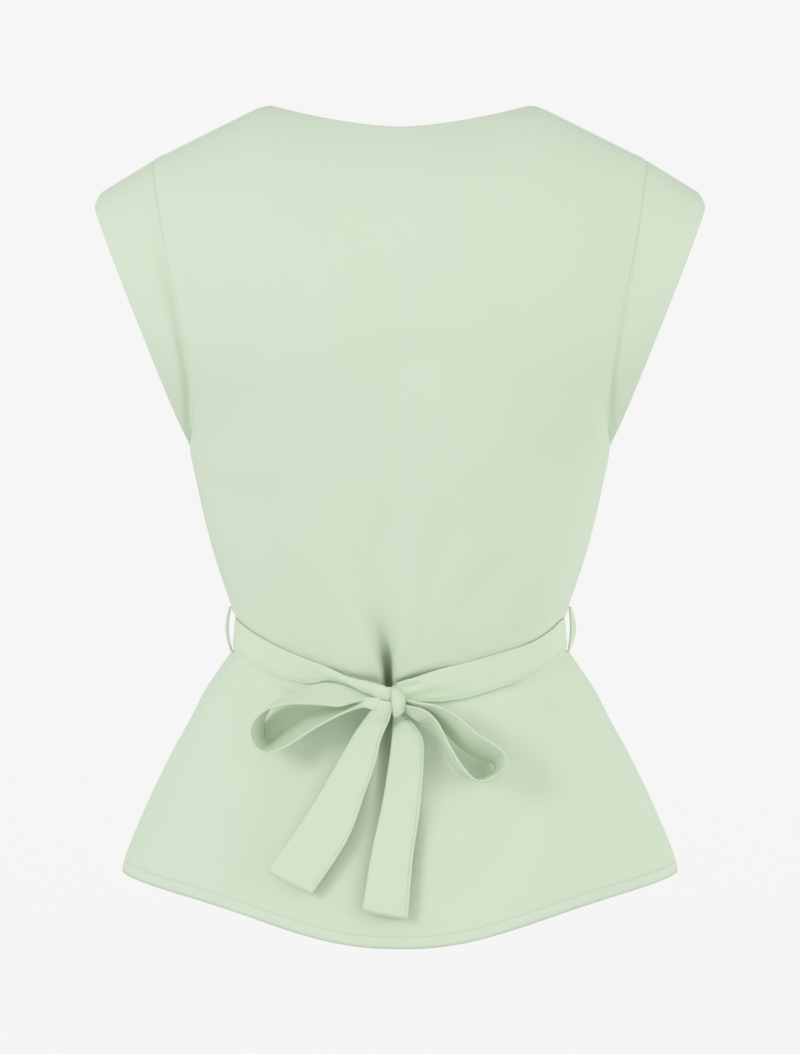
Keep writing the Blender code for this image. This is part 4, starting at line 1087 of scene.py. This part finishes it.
def backdrop():
    """A profile of floor, quarter circle and wall carried sideways."""
    turn = np.linspace(0, math.pi / 2, SWEEP_STEPS)
    y = np.concatenate([[FLOOR_START_Y], WALL_Y - SWEEP + SWEEP * np.sin(turn), [WALL_Y]])
    z = np.concatenate([[FLOOR_Z], FLOOR_Z + SWEEP - SWEEP * np.cos(turn), [WALL_TOP_Z]])
    x = np.linspace(-PAPER_HALF_WIDTH, PAPER_HALF_WIDTH, PAPER_STEPS)[:, None]
    points = np.stack([x + 0 * y, y + 0 * x, z + 0 * x], -1)
    faces = quads(np.arange(x.size * y.size).reshape(x.size, -1))
    mesh = bpy.data.meshes.new("backdrop")
    mesh.from_pydata(points.reshape(-1, 3).tolist(), [], faces.tolist())
    mesh.shade_smooth()
    t = Tree(bpy.data.materials.new("backdrop_paper"))
    t.give(t.nodes["Principled BSDF"], Base_Color=PAPER, Roughness=1.0, Specular_IOR_Level=0.0,
           Emission_Color=WHITE, Emission_Strength=PAPER_GLOW)
    mesh.materials.append(t.owner)
    item = bpy.data.objects.new("backdrop", mesh)
    bpy.context.scene.collection.objects.link(item)
    item.visible_diffuse = False
    item.visible_glossy = False
    item.visible_shadow = False


backdrop()

# %% Lights
# Each lamp: name, place, size in metres and power in watts.
LIGHTS = (
    ("key", (-2.3, -2.0, 0.7), 1.3, 24.0),
    ("fill", (2.4, -1.8, 0.3), 1.6, 12.0),
)
LAMP_COLOUR, ROOM_COLOUR = (1.05, 1.0, 1.115), (0.98, 1.0, 0.955)
GARMENT_MIDDLE = (0.0, 0.0, -0.30)


def aim(item, target):
    """Turn an object's -Z towards a target."""
    dx, dy, dz = (t - p for t, p in zip(target, item.location))
    item.rotation_euler = (math.atan2(math.hypot(dx, dy), -dz), 0.0, math.atan2(-dx, dy))


for name, spot, size, power in LIGHTS:
    lamp = bpy.data.lights.new(name, "AREA")
    lamp.shape, lamp.size, lamp.energy = "DISK", size, power
    lamp.color = LAMP_COLOUR
    item = bpy.data.objects.new(name, lamp)
    bpy.context.scene.collection.objects.link(item)
    item.location = spot
    aim(item, GARMENT_MIDDLE)
    print("lamp:", name, power, "W")

# %% Soft light from all round
ROUND_LIGHT, FROM_SIDES, FROM_RIGHT, FROM_FRONT = 0.645, 0.37, 0.09, 0.06
LOST_ABOVE, LOST_BELOW = 0.18, 0.27


def studio_world():
    """Light that grows towards both sides, +X and -Y, and falls off above and more so below."""
    world = bpy.data.worlds.new("studio")
    bpy.context.scene.world = world
    t = Tree(world)
    x = t.node("ShaderNodeSeparateXYZ", Vector=t.node("ShaderNodeTexCoord", out=0))
    y, z = x.out(1), x.out(2)
    above, below = z.math("MAXIMUM", 0.0), (-1.0 * z).math("MAXIMUM", 0.0)
    strength = ROUND_LIGHT + x.math("ABSOLUTE") * FROM_SIDES + x * FROM_RIGHT - y * FROM_FRONT
    strength = strength - above * LOST_ABOVE - below * LOST_BELOW
    t.give(t.nodes["Background"], Color=(*ROOM_COLOUR, 1.0), Strength=strength)


studio_world()

# %% Camera at the photo's place
CAMERA_BACK, CAMERA_Z, AIM_Z = 2.400, -0.030, -0.300
FOCAL_PIXELS, PHOTO_HEIGHT, SENSOR = 3389.19, 1054, 36.0
camera_data = bpy.data.cameras.new("camera")
camera_data.sensor_width = SENSOR
camera_data.lens = FOCAL_PIXELS * SENSOR / PHOTO_HEIGHT
camera = bpy.data.objects.new("camera", camera_data)
bpy.context.scene.collection.objects.link(camera)
camera.location = (0.0, -CAMERA_BACK, CAMERA_Z)
aim(camera, (0.0, 0.0, AIM_Z))
bpy.context.scene.camera = camera
bpy.context.scene.view_settings.view_transform = "Standard"
print("lens:", round(camera_data.lens, 2), "mm")
